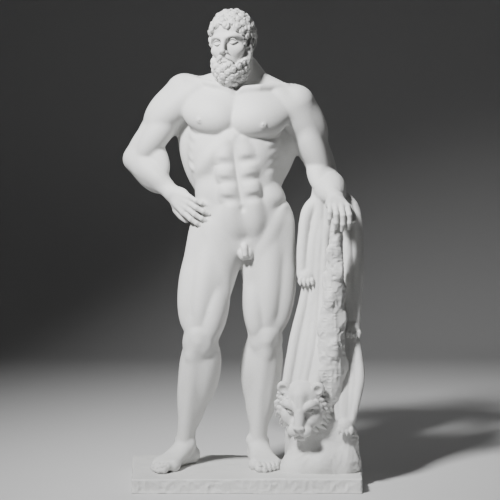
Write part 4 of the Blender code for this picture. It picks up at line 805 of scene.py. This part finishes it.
# Plinth, rock, club and lion's skin
def block(low, high, ease, lumps, spread=0.0):
    """A box with eased edges, spread wider at its foot, with rows of (amount, scale, seed) lumps."""
    middle, half = (low + high) / 2, (high - low) / 2 - ease

    def shape(x, y, z):
        widen = 1 + spread * np.clip((high[2] - z) / (high[2] - low[2]), 0, 1)
        halves = (half[0] * widen, half[1] * widen, half[2])
        sides = [np.abs(p - np.float32(m)) - h for p, m, h in zip((x, y, z), middle, halves)]
        outside = np.sqrt(sum(np.maximum(side, 0) ** 2 for side in sides))
        inside = np.minimum(np.maximum(np.maximum(sides[0], sides[1]), sides[2]), 0)
        distance = outside + inside - ease
        for amount, scale, seed in lumps:
            distance = distance + amount * noise(x, y, z, scale, seed)
        return distance.astype(np.float32)

    return shape


def plinth(clay):
    """A thin slab, hewn a little unevenly, whose sides spread towards its back."""
    slab = block(PLINTH_LOW - 1.5 * UP, PLINTH_HIGH, 0.8, [(0.3, 16, 3), (0.12, 5, 4)])
    slope = SPLAY / (PLINTH_HIGH[1] - PLINTH_LOW[1])

    def shape(x, y, z):
        inset = slope * (PLINTH_HIGH[1] - y)
        left, right = PLINTH_LOW[0] + inset - x, x - PLINTH_HIGH[0] + inset
        hewn = smooth_max(slab(x, y, z), np.maximum(left, right).astype(np.float32), 1.0)
        return np.maximum(hewn, np.float32(PLINTH_LOW[2]) - z)

    clay.stroke(PLINTH_LOW, PLINTH_HIGH, shape, 0)


def rock(clay):
    """A boulder wider at its foot, with a lower shoulder at its outer side."""
    low = np.array((ROCK_LEFT + 1.5, ROCK_FRONT + 2.0, -4.0))
    high = np.array((ROCK_RIGHT - 2.0, ROCK_BACK - 1.5, ROCK_TOP))
    clay.stroke(low - 4, high + 4, block(low, high, 5, [(2.0, 16, 8), (1.0, 7, 9)], 0.16), 2.5)
    for x, y, z, size in ((ROCK_LEFT + 2, ROCK_FRONT + 5, 1.0, 6.0),
                          (ROCK_RIGHT - 8, ROCK_FRONT + 6, 2.0, 7.0),
                          (ROCK_RIGHT - 8, ROCK_BACK - 8, 3.0, 8.0),
                          (ROCK_MIDDLE - 2, ROCK_FRONT + 3, 4.0, 6.0)):
        clay.ball((x, y, z), (size, size, size * 0.9), 4)


def club(clay):
    axis = CLUB_TOP - CLUB_FOOT
    thick = CLUB_RADIUS / CM

    def at(share):
        return CLUB_FOOT + axis * share

    shares = (0, 0.12, 0.45, 0.8, 0.96)
    clay.rod([at(share) for share in shares], [thick * part for part in (0.94, 1.0, 0.78, 0.5, 0.4)], 1.0)
    clay.ball(at(1.0), (3.5, 3.5, 2.9), 0.8)
    across = unit(np.cross(axis, (1, 0, 0)))
    aside = unit(np.cross(axis, across))
    knots = 15
    golden = 2.399
    lengthwise = np.stack([across, aside, unit(axis)], axis=1)
    for i in range(knots):
        share = 0.06 + 0.78 * i / knots
        out = across * math.cos(i * golden) + aside * math.sin(i * golden)
        size = 2.3 - 1.1 * share
        clay.ball(at(share) + out * thick * (0.90 - 0.50 * share), (size, size, size * 1.9), 1.8, lengthwise,
                  reach=2)


def skin(clay):
    """The lion's skin, hung over the forearm and falling in folds to the rock."""
    elbow, wrist = ELBOW[LEFT], WRIST[LEFT]
    reach = wrist - elbow
    clay.muscle(elbow - reach * 0.04, elbow + reach * 0.92, 6.6, 6.2, UP, 1.2)
    over = elbow + reach * 0.42
    floor = ROCK_TOP
    fall = 93 - floor
    core = [(36.5, 0.5, 107), (36.8, 2.5, 92), (37.0, 3.5, floor + fall * 0.6),
            (36.0, 3.0, floor + fall * 0.22), (35.0, 1.0, floor - 2)]
    clay.bow(core, [4.6, 5.6, 6.4, 8.2, 10.5], 2.5)
    folds = 13
    dice = np.random.default_rng(4)
    for i in range(folds):
        angle = 2 * math.pi * i / folds + 0.25
        swung = angle + dice.uniform(-0.22, 0.22)
        thick = dice.uniform(0.8, 1.25)
        rings = ((angle, over[0], over[1], over[2] - 0.5, 5.2, 7.2, 1.2),
                 (angle, 36.8, 1.6, 93, 6.0, 7.6, 1.8),
                 (swung, 37.0, 2.6, floor + fall * 0.63, 6.8, 8.4, 2.1),
                 (swung, 36.3, 2.4, floor + fall * 0.26, 8.6, 9.4, 2.5),
                 (angle, 35.4, 1.0, floor - 1, 11.2, 11.4, 2.2))
        clay.bow([(x + wide * math.cos(a), y + deep * math.sin(a), z) for a, x, y, z, wide, deep, _ in rings],
                 [ring[-1] * thick for ring in rings], 0.45)
    paw(clay, [(39.0, -1.0, 108), (44.4, -3.5, 101), (46.2, -6.0, 84), (46.2, -8.0, 68), (45.6, -9.5, 56)],
        (0, -0.5, -1))
    paw(clay, [(35.5, -2.0, 107), (30.8, -4.5, 100), (28.6, -6.5, 88), (27.6, -8.0, 76)], (0, -0.6, -1))
    # the falls of the skin to the lion's mask and over the rock's front
    clay.bow([(33, -3, 70), (30.5, -6, floor + 18), (28.5, -9, floor + 5), MASK.at(0, 6, 4)],
             [3.6, 4.4, 6.0, 6.5], 2.0)
    to_mask = [(35.5, -3.5, 106), (33.0, -6.5, 90), (31.2, -8.5, 66), (29.2, -11.5, floor + 16),
               MASK.at(0, 1.5, 7)]
    drape(clay, to_mask, (1.5, 2.4, 4.2, 6.2, 6.0), (1.4, 1.5, 1.9, 2.2, 2.0), 6, 7)
    over_rock = [(41, -5, 74), (43.0, -8, floor + 22), (43.5, -12, floor + 4),
                 (43.0, ROCK_FRONT + 1.0, floor - 5), (42.4, ROCK_FRONT - 0.8, floor - 13)]
    drape(clay, over_rock, (1.2, 3.0, 4.6, 3.8, 2.4), (1.2, 1.6, 1.9, 1.7, 1.4), 5, 3)
    claws(clay, over_rock[-1], unit((-0.1, -0.15, -1)), unit((1, -0.25, 0)))


def drape(clay, line, halves, radii, strands, seed):
    """A fluted fall of the skin: strands side by side along line, as far apart as halves says."""
    dice = np.random.default_rng(seed)
    across = unit((1, -0.25, 0))
    for i in range(strands):
        place = 2 * i / (strands - 1) - 1
        sway, lift = dice.uniform(-0.12, 0.12), dice.uniform(-0.5, 0.7)
        points = [np.array(point, float) + across * half * (place + sway) + lift * FRONT
                  + 0.4 * half * place ** 2 * UP
                  for point, half in zip(line, halves)]
        clay.bow(points, radii, 0.5)


def paw(clay, line, way):
    end, way = np.array(line[-1], float), unit(way)
    across = unit(np.cross(way, (0, -1, 0.2)))
    for aside in (-1.7, 1.7):
        strands = [np.array(point, float) + across * aside * (0.4, 1.4, 1.3, 1.0, 0.7)[i]
                   for i, point in enumerate(line)]
        clay.bow(strands, (3.2, 2.5, 2.1, 1.9, 1.7)[:len(line)], 1.4)
    claws(clay, end, way, across)


def claws(clay, end, way, across):
    """The foot of a paw, with four toes."""
    clay.ball(end + way * 1.5, (3.1, 2.4, 3.0), 0.8)
    for place in (-1.5, -0.5, 0.5, 1.5):
        toe = end + way * (3.6 - 0.35 * abs(place)) + across * place * 1.55 + 0.9 * FRONT
        clay.ball(toe, (1.0, 1.15, 1.5), 0.3)
        clay.rod([toe + way * 1.0 + 0.3 * FRONT, toe + way * 2.3 - 0.1 * FRONT], [0.5, 0.2], 0.2)


def mask(clay):
    """The lion's head of the skin, hanging face out over the rock's edge."""
    at, line, axes = MASK.at, MASK.line, MASK.axes
    clay.ball(at(0, 2, 2.4), (7.8, 6.5, 8.6), 2.0, axes)
    clay.ball(at(0, -4.6, -4.8), (4.5, 4.6, 3.7), 1.5, axes)
    clay.bow(line([(0, -2.6, 6.4), (0, -5.6, 1.6), (0, -8.4, -2.6)]), [2.8, 2.2, 1.9], 1.2)
    clay.ball(at(0, -9.7, -3.3), (2.3, 1.2, 1.1), 0.4, axes)
    clay.ball(at(0, -6.0, -8.7), (2.7, 2.6, 1.6), 0.5, axes)
    for side in SIDES:
        clay.ball(at(4.8 * side, -1.8, -2.0), (3.3, 3.6, 4.4), 1.6, axes)
        clay.ball(at(2.2 * side, -7.7, -5.5), (2.7, 2.3, 2.4), 0.4, axes)
        clay.ball(at(1.25 * side, -10.7, -3.7), (0.55, 0.7, 0.4), 0.2, axes, cut=True)
        # brow, eye and ear
        clay.bow(line([(6.9, -1.4, 2.2), (4.6, -4.6, 4.2), (1.7, -5.6, 2.7)], side), [1.2, 1.5, 1.1], 0.7)
        clay.ball(at(3.9 * side, -6.0, 1.4), (1.9, 1.7, 1.1), 0.4, axes @ turned(roll=-16 * side), cut=True)
        clay.ball(at(3.7 * side, -4.5, 1.3), (1.35, 1.2, 0.9), 0.2, axes)
        lean = axes @ turned(roll=24 * side)
        clay.ball(at(6.6 * side, 0.2, 8.4), (2.6, 1.5, 2.8), 0.6, lean)
        clay.ball(at(6.7 * side, -1.2, 8.5), (1.5, 1.0, 1.7), 0.4, lean, cut=True)
        # the lip's edge and a fang under it
        lip = [(4.6, -5.4, -7.0), (2.4, -9.2, -8.0), (0, -10.0, -6.9)]
        clay.bow(line(lip, side), [0.3, 0.4, 0.3], 0.4, cut=True)
        clay.rod(line([(2.0, -8.5, -7.0), (1.9, -8.7, -9.2)], side), [0.55, 0.2], 0.2)
    clay.rod(line([(0, -10.9, -4.4), (0, -10.4, -7.2)]), [0.22, 0.22], 0.4, cut=True)
    clay.rod(line([(0, -5.6, 8.4), (0, -7.2, 3.8)]), [0.5, 0.4], 0.8, cut=True)
    mane(clay)


def mane(clay):
    """Three rings of pointed locks that sweep out and down from the lion's face."""
    dice = np.random.default_rng(31)
    clay.ball(MASK.at(0, 3.6, -0.6), (9.6, 4.4, 9.8), 1.0, MASK.axes)
    for ring, (radius, count) in enumerate(((7.2, 22), (8.4, 24), (9.6, 26))):
        for i in range(count):
            angle = 2 * math.pi * (i + 0.5 * ring) / count + dice.uniform(-0.05, 0.05)
            across, rise = math.cos(angle), math.sin(angle)
            longer, bend = dice.uniform(2.0, 3.2), dice.uniform(0.6, 1.5) * (1 if across > 0 else -1)
            root = MASK.at(radius * 0.78 * across, -1.0 + 2.0 * ring, radius * 0.82 * rise)
            middle = MASK.at(radius * 1.06 * across + bend * rise, -1.9 + 2.2 * ring,
                             radius * 1.0 * rise - 1.4)
            end = radius + longer
            tip = MASK.at(end * 0.96 * across - bend * rise, 0.2 + 2.4 * ring, end * 0.88 * rise - 4.6)
            lock(clay, root, middle, tip)


def lock(clay, root, middle, tip):
    """A pointed lock of two strands, one raised beside the other."""
    front = MASK.way(0, -1, 0)
    aside = unit(np.cross(tip - root, front))
    clay.bow([root, middle, tip], [0.8, 1.05, 0.25], 0.25, reach=1.5)
    clay.bow([root + 0.7 * aside, middle + 0.75 * aside + 0.35 * front, tip + 0.2 * aside + 0.3 * front],
             [0.5, 0.62, 0.15], 0.15, reach=1.5)


# Tool marks, bark and hide, worked over a whole piece
def ridges(x, y, z, scale, seed):
    """Hollows from 0 to 1 between sharp ridges, about scale across."""
    return np.abs(noise(x, y, z, scale, seed))


def past(line, place, soft):
    """From 0 to 1 where a grid line lies past place, eased over soft cm."""
    return np.clip((line - place) / soft + 0.5, 0, 1)


def tool_rock(clay):
    """Deep point work on the rock's outer side and back, and faint slanting chisel strokes on its front."""
    x, y, z = clay.lines()
    rough = np.maximum(past(x, ROCK_RIGHT - 4.5, 4), past(y, ROCK_BACK - 5, 5))
    bites = 0.75 * ridges(x, y, z * 0.8, 3.0, 21) + 0.5 * ridges(x * 0.7, y, z, 1.4, 22)
    slant = 0.9 * x + 0.9 * y - 0.8 * z
    strokes = 0.2 * np.abs(np.sin(slant + 3.0 * noise(x, y, z, 6, 23))) * ridges(x, y, z, 9, 24)
    clay.wear(bites * rough + strokes * (1 - rough) + 0.10 * ridges(x, y, z, 1.8, 25))


def tool_plinth(clay):
    """Hewn sides, and a top left from the flat chisel."""
    x, y, z = clay.lines()
    hewn = (1 - past(z, PLINTH_HIGH[2] - 0.7, 1.0)) * past(z, PLINTH_LOW[2] + 0.5, 0.8)
    bites = 0.5 * ridges(x, y, z, 2.6, 26) + 0.35 * ridges(x, y, z * 0.7, 1.2, 27)
    flat = 0.10 * ridges(x * 0.4, y, z, 2.2, 28)
    inside = past(z, PLINTH_LOW[2] + 0.3, 0.5)
    clay.wear((bites * hewn + flat * (1 - hewn)) * inside)


def tool_club(clay):
    """Bark in rough plates."""
    x, y, z = clay.lines()
    clay.wear(0.55 * ridges(x, y, z * 0.45, 2.0, 31) + 0.3 * ridges(x * 0.6, y * 0.6, z, 1.1, 32))


def tool_hide(clay):
    """Short soft ripples of fur along the falls."""
    x, y, z = clay.lines()
    clay.wear(0.14 * ridges(x, y, z * 0.35, 1.5, 33) + 0.16 * noise(x, y, z * 0.5, 5, 34))


# The statue's pieces
LAP = 0.8                 # how far neighbouring pieces run on under each other
DIVE = 0.03               # how deep each has sunk by the end of that

# Pieces of the figure on grids of their own: the ball that each fills, and its grid's step
BALLS = {
    "head": (HEAD.at(0, -1.5, -1.5), 17.5, 0.16),
    "right_hand": (WRIST[RIGHT] + 9.0 * unit((0.62, -0.62, -0.48)), 12.0, 0.2),
    "left_hand": (WRIST[LEFT] + 8.0 * unit((0.05, -0.9, -0.6)), 11.5, 0.2),
    "right_foot": (np.array((ANKLE[RIGHT][0], ANKLE[RIGHT][1], 2.0)) + 7.5 * TOES[RIGHT], 16.5, 0.2),
    "left_foot": (np.array((ANKLE[LEFT][0], ANKLE[LEFT][1], 2.0)) + 7.5 * TOES[LEFT], 16.5, 0.2),
}
SMALLEST_BODY = 2.0       # looser crumbs than this, in cubic cm, are dropped
SKIN_STEP = 0.3           # grid of the body
GRID_MARGIN = 3.0         # empty clay round each piece of the support
MOST_TRIANGLES = {
    "body": 170000, "head": 150000, "right_hand": 40000, "left_hand": 40000, "right_foot": 40000,
    "left_foot": 40000, "plinth": 40000, "rock": 110000, "lion_skin": 130000, "lion_mask": 80000,
    "club": 70000,
}


def figure(clay):
    """The whole man, on any grid: forms that the grid doesn't reach cost nothing."""
    trunk(clay)
    for side in SIDES:
        leg(clay, side)
    belly(clay)
    groin(clay)
    neck(clay)
    arms(clay)
    head(clay)


def cut_out(clay, centre, radius, inside):
    """Keeps the clay inside or outside a ball. Past the cut it dives under the neighbouring piece."""
    view, lines = clay.window(centre - radius, centre + radius, LAP + 2)
    away = np.sqrt(sum((line - np.float32(c)) ** 2 for line, c in zip(lines, centre)))
    beyond = (away - radius if inside else radius - away).astype(np.float32)
    sunk = view + DIVE * np.clip(beyond / LAP, 0, 1)
    view[...] = np.maximum(sunk, beyond - LAP)


def without_crumbs(points, faces):
    """Drops loose crumbs and sealed hollows from the skin, and the points that only they used."""
    ends = np.sort(np.stack([faces, np.roll(faces, -1, axis=1)], axis=2), axis=2)
    edges = (ends[:, :, 0] * np.int64(len(points)) + ends[:, :, 1]).ravel()
    neighbours = (np.argsort(edges, kind="stable") // 4).reshape(-1, 2)
    label = np.arange(len(faces))
    while True:
        one, other = label[neighbours].T
        if (one == other).all():
            break
        np.minimum.at(label, np.maximum(one, other), np.minimum(one, other))
        while (label[label] != label).any():
            label = label[label]
    a, b, c, d = (points[faces[:, i]] for i in range(4))
    volumes = np.einsum("ij,ij->i", a, np.cross(b, c) + np.cross(c, d)) / 6
    bodies = np.bincount(label, weights=volumes, minlength=len(faces))
    faces = faces[bodies[label] > SMALLEST_BODY]
    kept = np.zeros(len(points), bool)
    kept[faces] = True
    return points[kept], (np.cumsum(kept) - 1)[faces]


def placed(name, data, spot=(0, 0, 0), aim=None):
    """A new object in the scene, at spot, turned to look at aim where that is given."""
    model = bpy.data.objects.new(name, data)
    model.location = spot
    if aim:
        model.rotation_euler = (Vector(aim) - Vector(spot)).to_track_quat("-Z", "Y").to_euler()
    bpy.context.scene.collection.objects.link(model)
    return model


def piece(name, clay, material):
    """The clay's skin as an object in metres, thinned where it is flat, riding on the statue's one body."""
    points, faces = without_crumbs(*clay.surface())
    middle = (PLINTH_LOW + PLINTH_HIGH) / 2
    origin = np.array((middle[0], middle[1], PLINTH_LOW[2]))
    mesh = bpy.data.meshes.new(name)
    mesh.from_pydata(((points - origin) * CM).tolist(), [], faces.tolist())
    model = placed(name, mesh)
    if 2 * len(faces) > MOST_TRIANGLES[name]:
        thin(model, MOST_TRIANGLES[name] / (2 * len(faces)))
    model.data.shade_smooth()
    model.data.materials.append(material)
    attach(model, "root")
    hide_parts(NODE)


def thin(model, ratio):
    """Leaves about ratio of the model's triangles."""
    decimate = model.modifiers.new("thin", "DECIMATE")
    decimate.ratio = ratio
    decimate.use_collapse_triangulate = True
    full = model.data
    shape = model.evaluated_get(bpy.context.evaluated_depsgraph_get())
    model.data = bpy.data.meshes.new_from_object(shape)
    model.modifiers.clear()
    bpy.data.meshes.remove(full)


def make_figure(material):
    """The man on one grid, with a ball cut out for each piece that has a finer grid."""
    low = PLINTH_LOW - (9.0, 6.0, -4.0)
    high = np.array((PLINTH_HIGH[0] + 2.0, PLINTH_HIGH[1] + 2.0, MAN + 3.0))
    body = Clay(low, high, SKIN_STEP)
    figure(body)
    for centre, radius, _ in BALLS.values():
        cut_out(body, centre, radius, inside=False)
    piece("body", body, material)
    for name, (centre, radius, step) in BALLS.items():
        reach = radius + LAP + 1
        detail = Clay(centre - reach, centre + reach, step)
        figure(detail)
        cut_out(detail, centre, radius, inside=True)
        piece(name, detail, material)


def make_support(stones):
    """The pieces round the man, each a row of name, corners, grid step, what is worked on it, and stone."""
    club_low, club_high = np.minimum(CLUB_FOOT, CLUB_TOP), np.maximum(CLUB_FOOT, CLUB_TOP)
    work = (
        ("plinth", PLINTH_LOW, PLINTH_HIGH, 0.35, (plinth, tool_plinth), "plinth"),
        ("rock", (ROCK_LEFT - 5, ROCK_FRONT - 6, -2), (ROCK_RIGHT + 2, ROCK_BACK + 3, ROCK_TOP + 4), 0.25,
         (rock, tool_rock), "rock"),
        ("lion_skin", (ROCK_LEFT - 12, ROCK_FRONT - 14, ROCK_TOP - 24), (55, 24, 121), 0.3,
         (skin, tool_hide), "hide"),
        ("lion_mask", MASK.centre - 16, MASK.centre + 16, 0.2, (mask,), "hide"),
        ("club", club_low - 8, club_high + 8, 0.22, (club, tool_club), "club"),
    )
    for name, low, high, step, jobs, kind in work:
        clay = Clay(np.asarray(low, float) - GRID_MARGIN, np.asarray(high, float) + GRID_MARGIN, step)
        for job in jobs:
            job(clay)
        piece(name, clay, stones[kind])


# Materials
def matt(name):
    """A new material, with its nodes, its links and its shader."""
    material = bpy.data.materials.new(name)
    material.use_nodes = True
    tree = material.node_tree
    return material, tree.nodes, tree.links, tree.nodes["Principled BSDF"]


def stone(name, grain=1.0, pits=0.0):
    """Pale matt stone: faint clouds, a fine grain, and painted shade that darkens the hollows but leaves the
    high edges at the stone's own tone.
    """
    material, nodes, links, shader = matt(name)
    place = nodes.new("ShaderNodeNewGeometry")

    def node(kind, **values):
        made = nodes.new("ShaderNode" + kind)
        for socket, value in values.items():
            made.inputs[socket].default_value = value
        return made

    def cloud(scale, detail, roughness=0.55):
        texture = node("TexNoise", Scale=scale, Detail=detail, Roughness=roughness)
        links.new(place.outputs["Position"], texture.inputs["Vector"])
        return texture.outputs["Fac"]

    def ramp(source, *stops):
        shades = node("ValToRGB")
        for element, (position, color) in zip(shades.color_ramp.elements, stops):
            element.position = position
            element.color = (*color, 1.0)
        links.new(source, shades.inputs["Fac"])
        return shades.outputs["Color"]

    def darkened(color, by, factor):
        mix = node("Mix")
        mix.data_type = "RGBA"
        mix.blend_type = "MULTIPLY"
        mix.inputs["Factor"].default_value = factor
        links.new(color, mix.inputs["A"])
        links.new(by, mix.inputs["B"])
        return mix.outputs["Result"]

    def bump(height, strength, distance):
        relief = node("Bump", Strength=strength, Distance=distance)
        links.new(height, relief.inputs["Height"])
        return relief

    base = ramp(cloud(2.2, 6), (0.3, [part * 0.93 for part in STONE]), (0.7, [part * 1.04 for part in STONE]))
    specks = ramp(cloud(160, 3), (0.32, (0.86, 0.86, 0.85)), (0.52, (1, 1, 1)))
    # painted shade: the colour is darkened where the surface is hollow (low pointiness), multiplied in below
    # at 0.7
    hollows = ramp(place.outputs["Pointiness"], (0.40, (0.62, 0.61, 0.60)), (0.49, (1, 1, 1)))
    links.new(darkened(darkened(base, specks, 0.6), hollows, 0.7), shader.inputs["Base Color"])
    rough = ramp(cloud(9, 4), (0.3, (0.60,) * 3), (0.7, (0.74,) * 3))
    links.new(rough, shader.inputs["Roughness"])
    shader.inputs["Specular IOR Level"].default_value = 0.35
    fine = bump(cloud(240, 4, 0.65), 0.12 * grain, 0.002)
    broad = bump(cloud(45, 5, 0.6), 0.10 * grain + pits, 0.004)
    links.new(broad.outputs["Normal"], fine.inputs["Normal"])
    links.new(fine.outputs["Normal"], shader.inputs["Normal"])
    return material


# Studio
FLOOR_TONE = 0.6
FLOOR_ROUGHNESS = 0.9
BEND_STEPS = 12


def make_studio():
    """A pale floor that curves up into a plain wall, beyond where a camera may walk round."""
    width, front, back, bend, top = 60.0, -20.0, 12.0, 4.0, 20.0
    profile = [(front, 0.0), (back - bend, 0.0)]
    for i in range(1, BEND_STEPS + 1):
        angle = math.pi / 2 * i / BEND_STEPS
        profile.append((back - bend + bend * math.sin(angle), bend - bend * math.cos(angle)))
    profile.append((back, top))
    points = [(x, y, z) for y, z in profile for x in (-width / 2, width / 2)]
    faces = [(2 * i, 2 * i + 1, 2 * i + 3, 2 * i + 2) for i in range(len(profile) - 1)]
    mesh = bpy.data.meshes.new("floor")
    mesh.from_pydata(points, [], faces)
    mesh.shade_smooth()
    paint, _, _, shader = matt("floor_paint")
    shader.inputs["Base Color"].default_value = (FLOOR_TONE,) * 3 + (1.0,)
    shader.inputs["Roughness"].default_value = FLOOR_ROUGHNESS
    mesh.materials.append(paint)
    placed("floor", mesh)


def lamp(name, spot, aim, size, power, spread=180):
    """A square light, size metres wide, with power in watts and spread in degrees."""
    light = bpy.data.lights.new(name, "AREA")
    light.spread = math.radians(spread)
    light.shape = "SQUARE"
    light.size = size
    light.energy = power
    placed(name, light, spot, aim)


def make_lights():
    chest = (0, 0, 2.0)
    lamp("key", (-3.4, -5.0, 6.8), chest, 1.1, 195, spread=62)
    lamp("fill", (1.5, -8.0, 2.2), chest, 4.0, 5)
    lamp("rim", (2.5, 4.5, 5.5), chest, 2.0, 45)
    world = bpy.data.worlds.new("studio")
    world.use_nodes = True
    background = world.node_tree.nodes["Background"]
    background.inputs["Color"].default_value = (1.0, 1.0, 1.0, 1.0)
    background.inputs["Strength"].default_value = 0.045
    bpy.context.scene.world = world


# Camera
CAMERA_AWAY = 7.6
CAMERA_HEIGHT = 1.6
NEAR_PLANE = 0.23         # the statue's size in the picture holds this far before its middle
PICTURE = 500             # the picture's width and height
STATUE_PIXELS = 487       # the statue's height in that picture
AIM = (0.02, 0.0, 1.541)


def make_camera():
    camera = bpy.data.cameras.new("camera")
    camera.sensor_fit = "HORIZONTAL"
    tall = cad_high[2] - cad_low[2]
    camera.angle = 2 * math.atan(tall * PICTURE / STATUE_PIXELS / 2 / (CAMERA_AWAY - NEAR_PLANE))
    bpy.context.scene.camera = placed("camera", camera, (0, -CAMERA_AWAY, CAMERA_HEIGHT), AIM)


make_camera()
skin_stone = stone("smooth_stone")
make_figure(skin_stone)
make_support({"plinth": stone("plinth_stone", grain=1.6, pits=0.1),
              "rock": stone("tooled_stone", grain=2.2, pits=0.25),
              "hide": stone("hide_stone", grain=1.3, pits=0.05),
              "club": stone("bark_stone", grain=1.8, pits=0.15)})
make_studio()
make_lights()
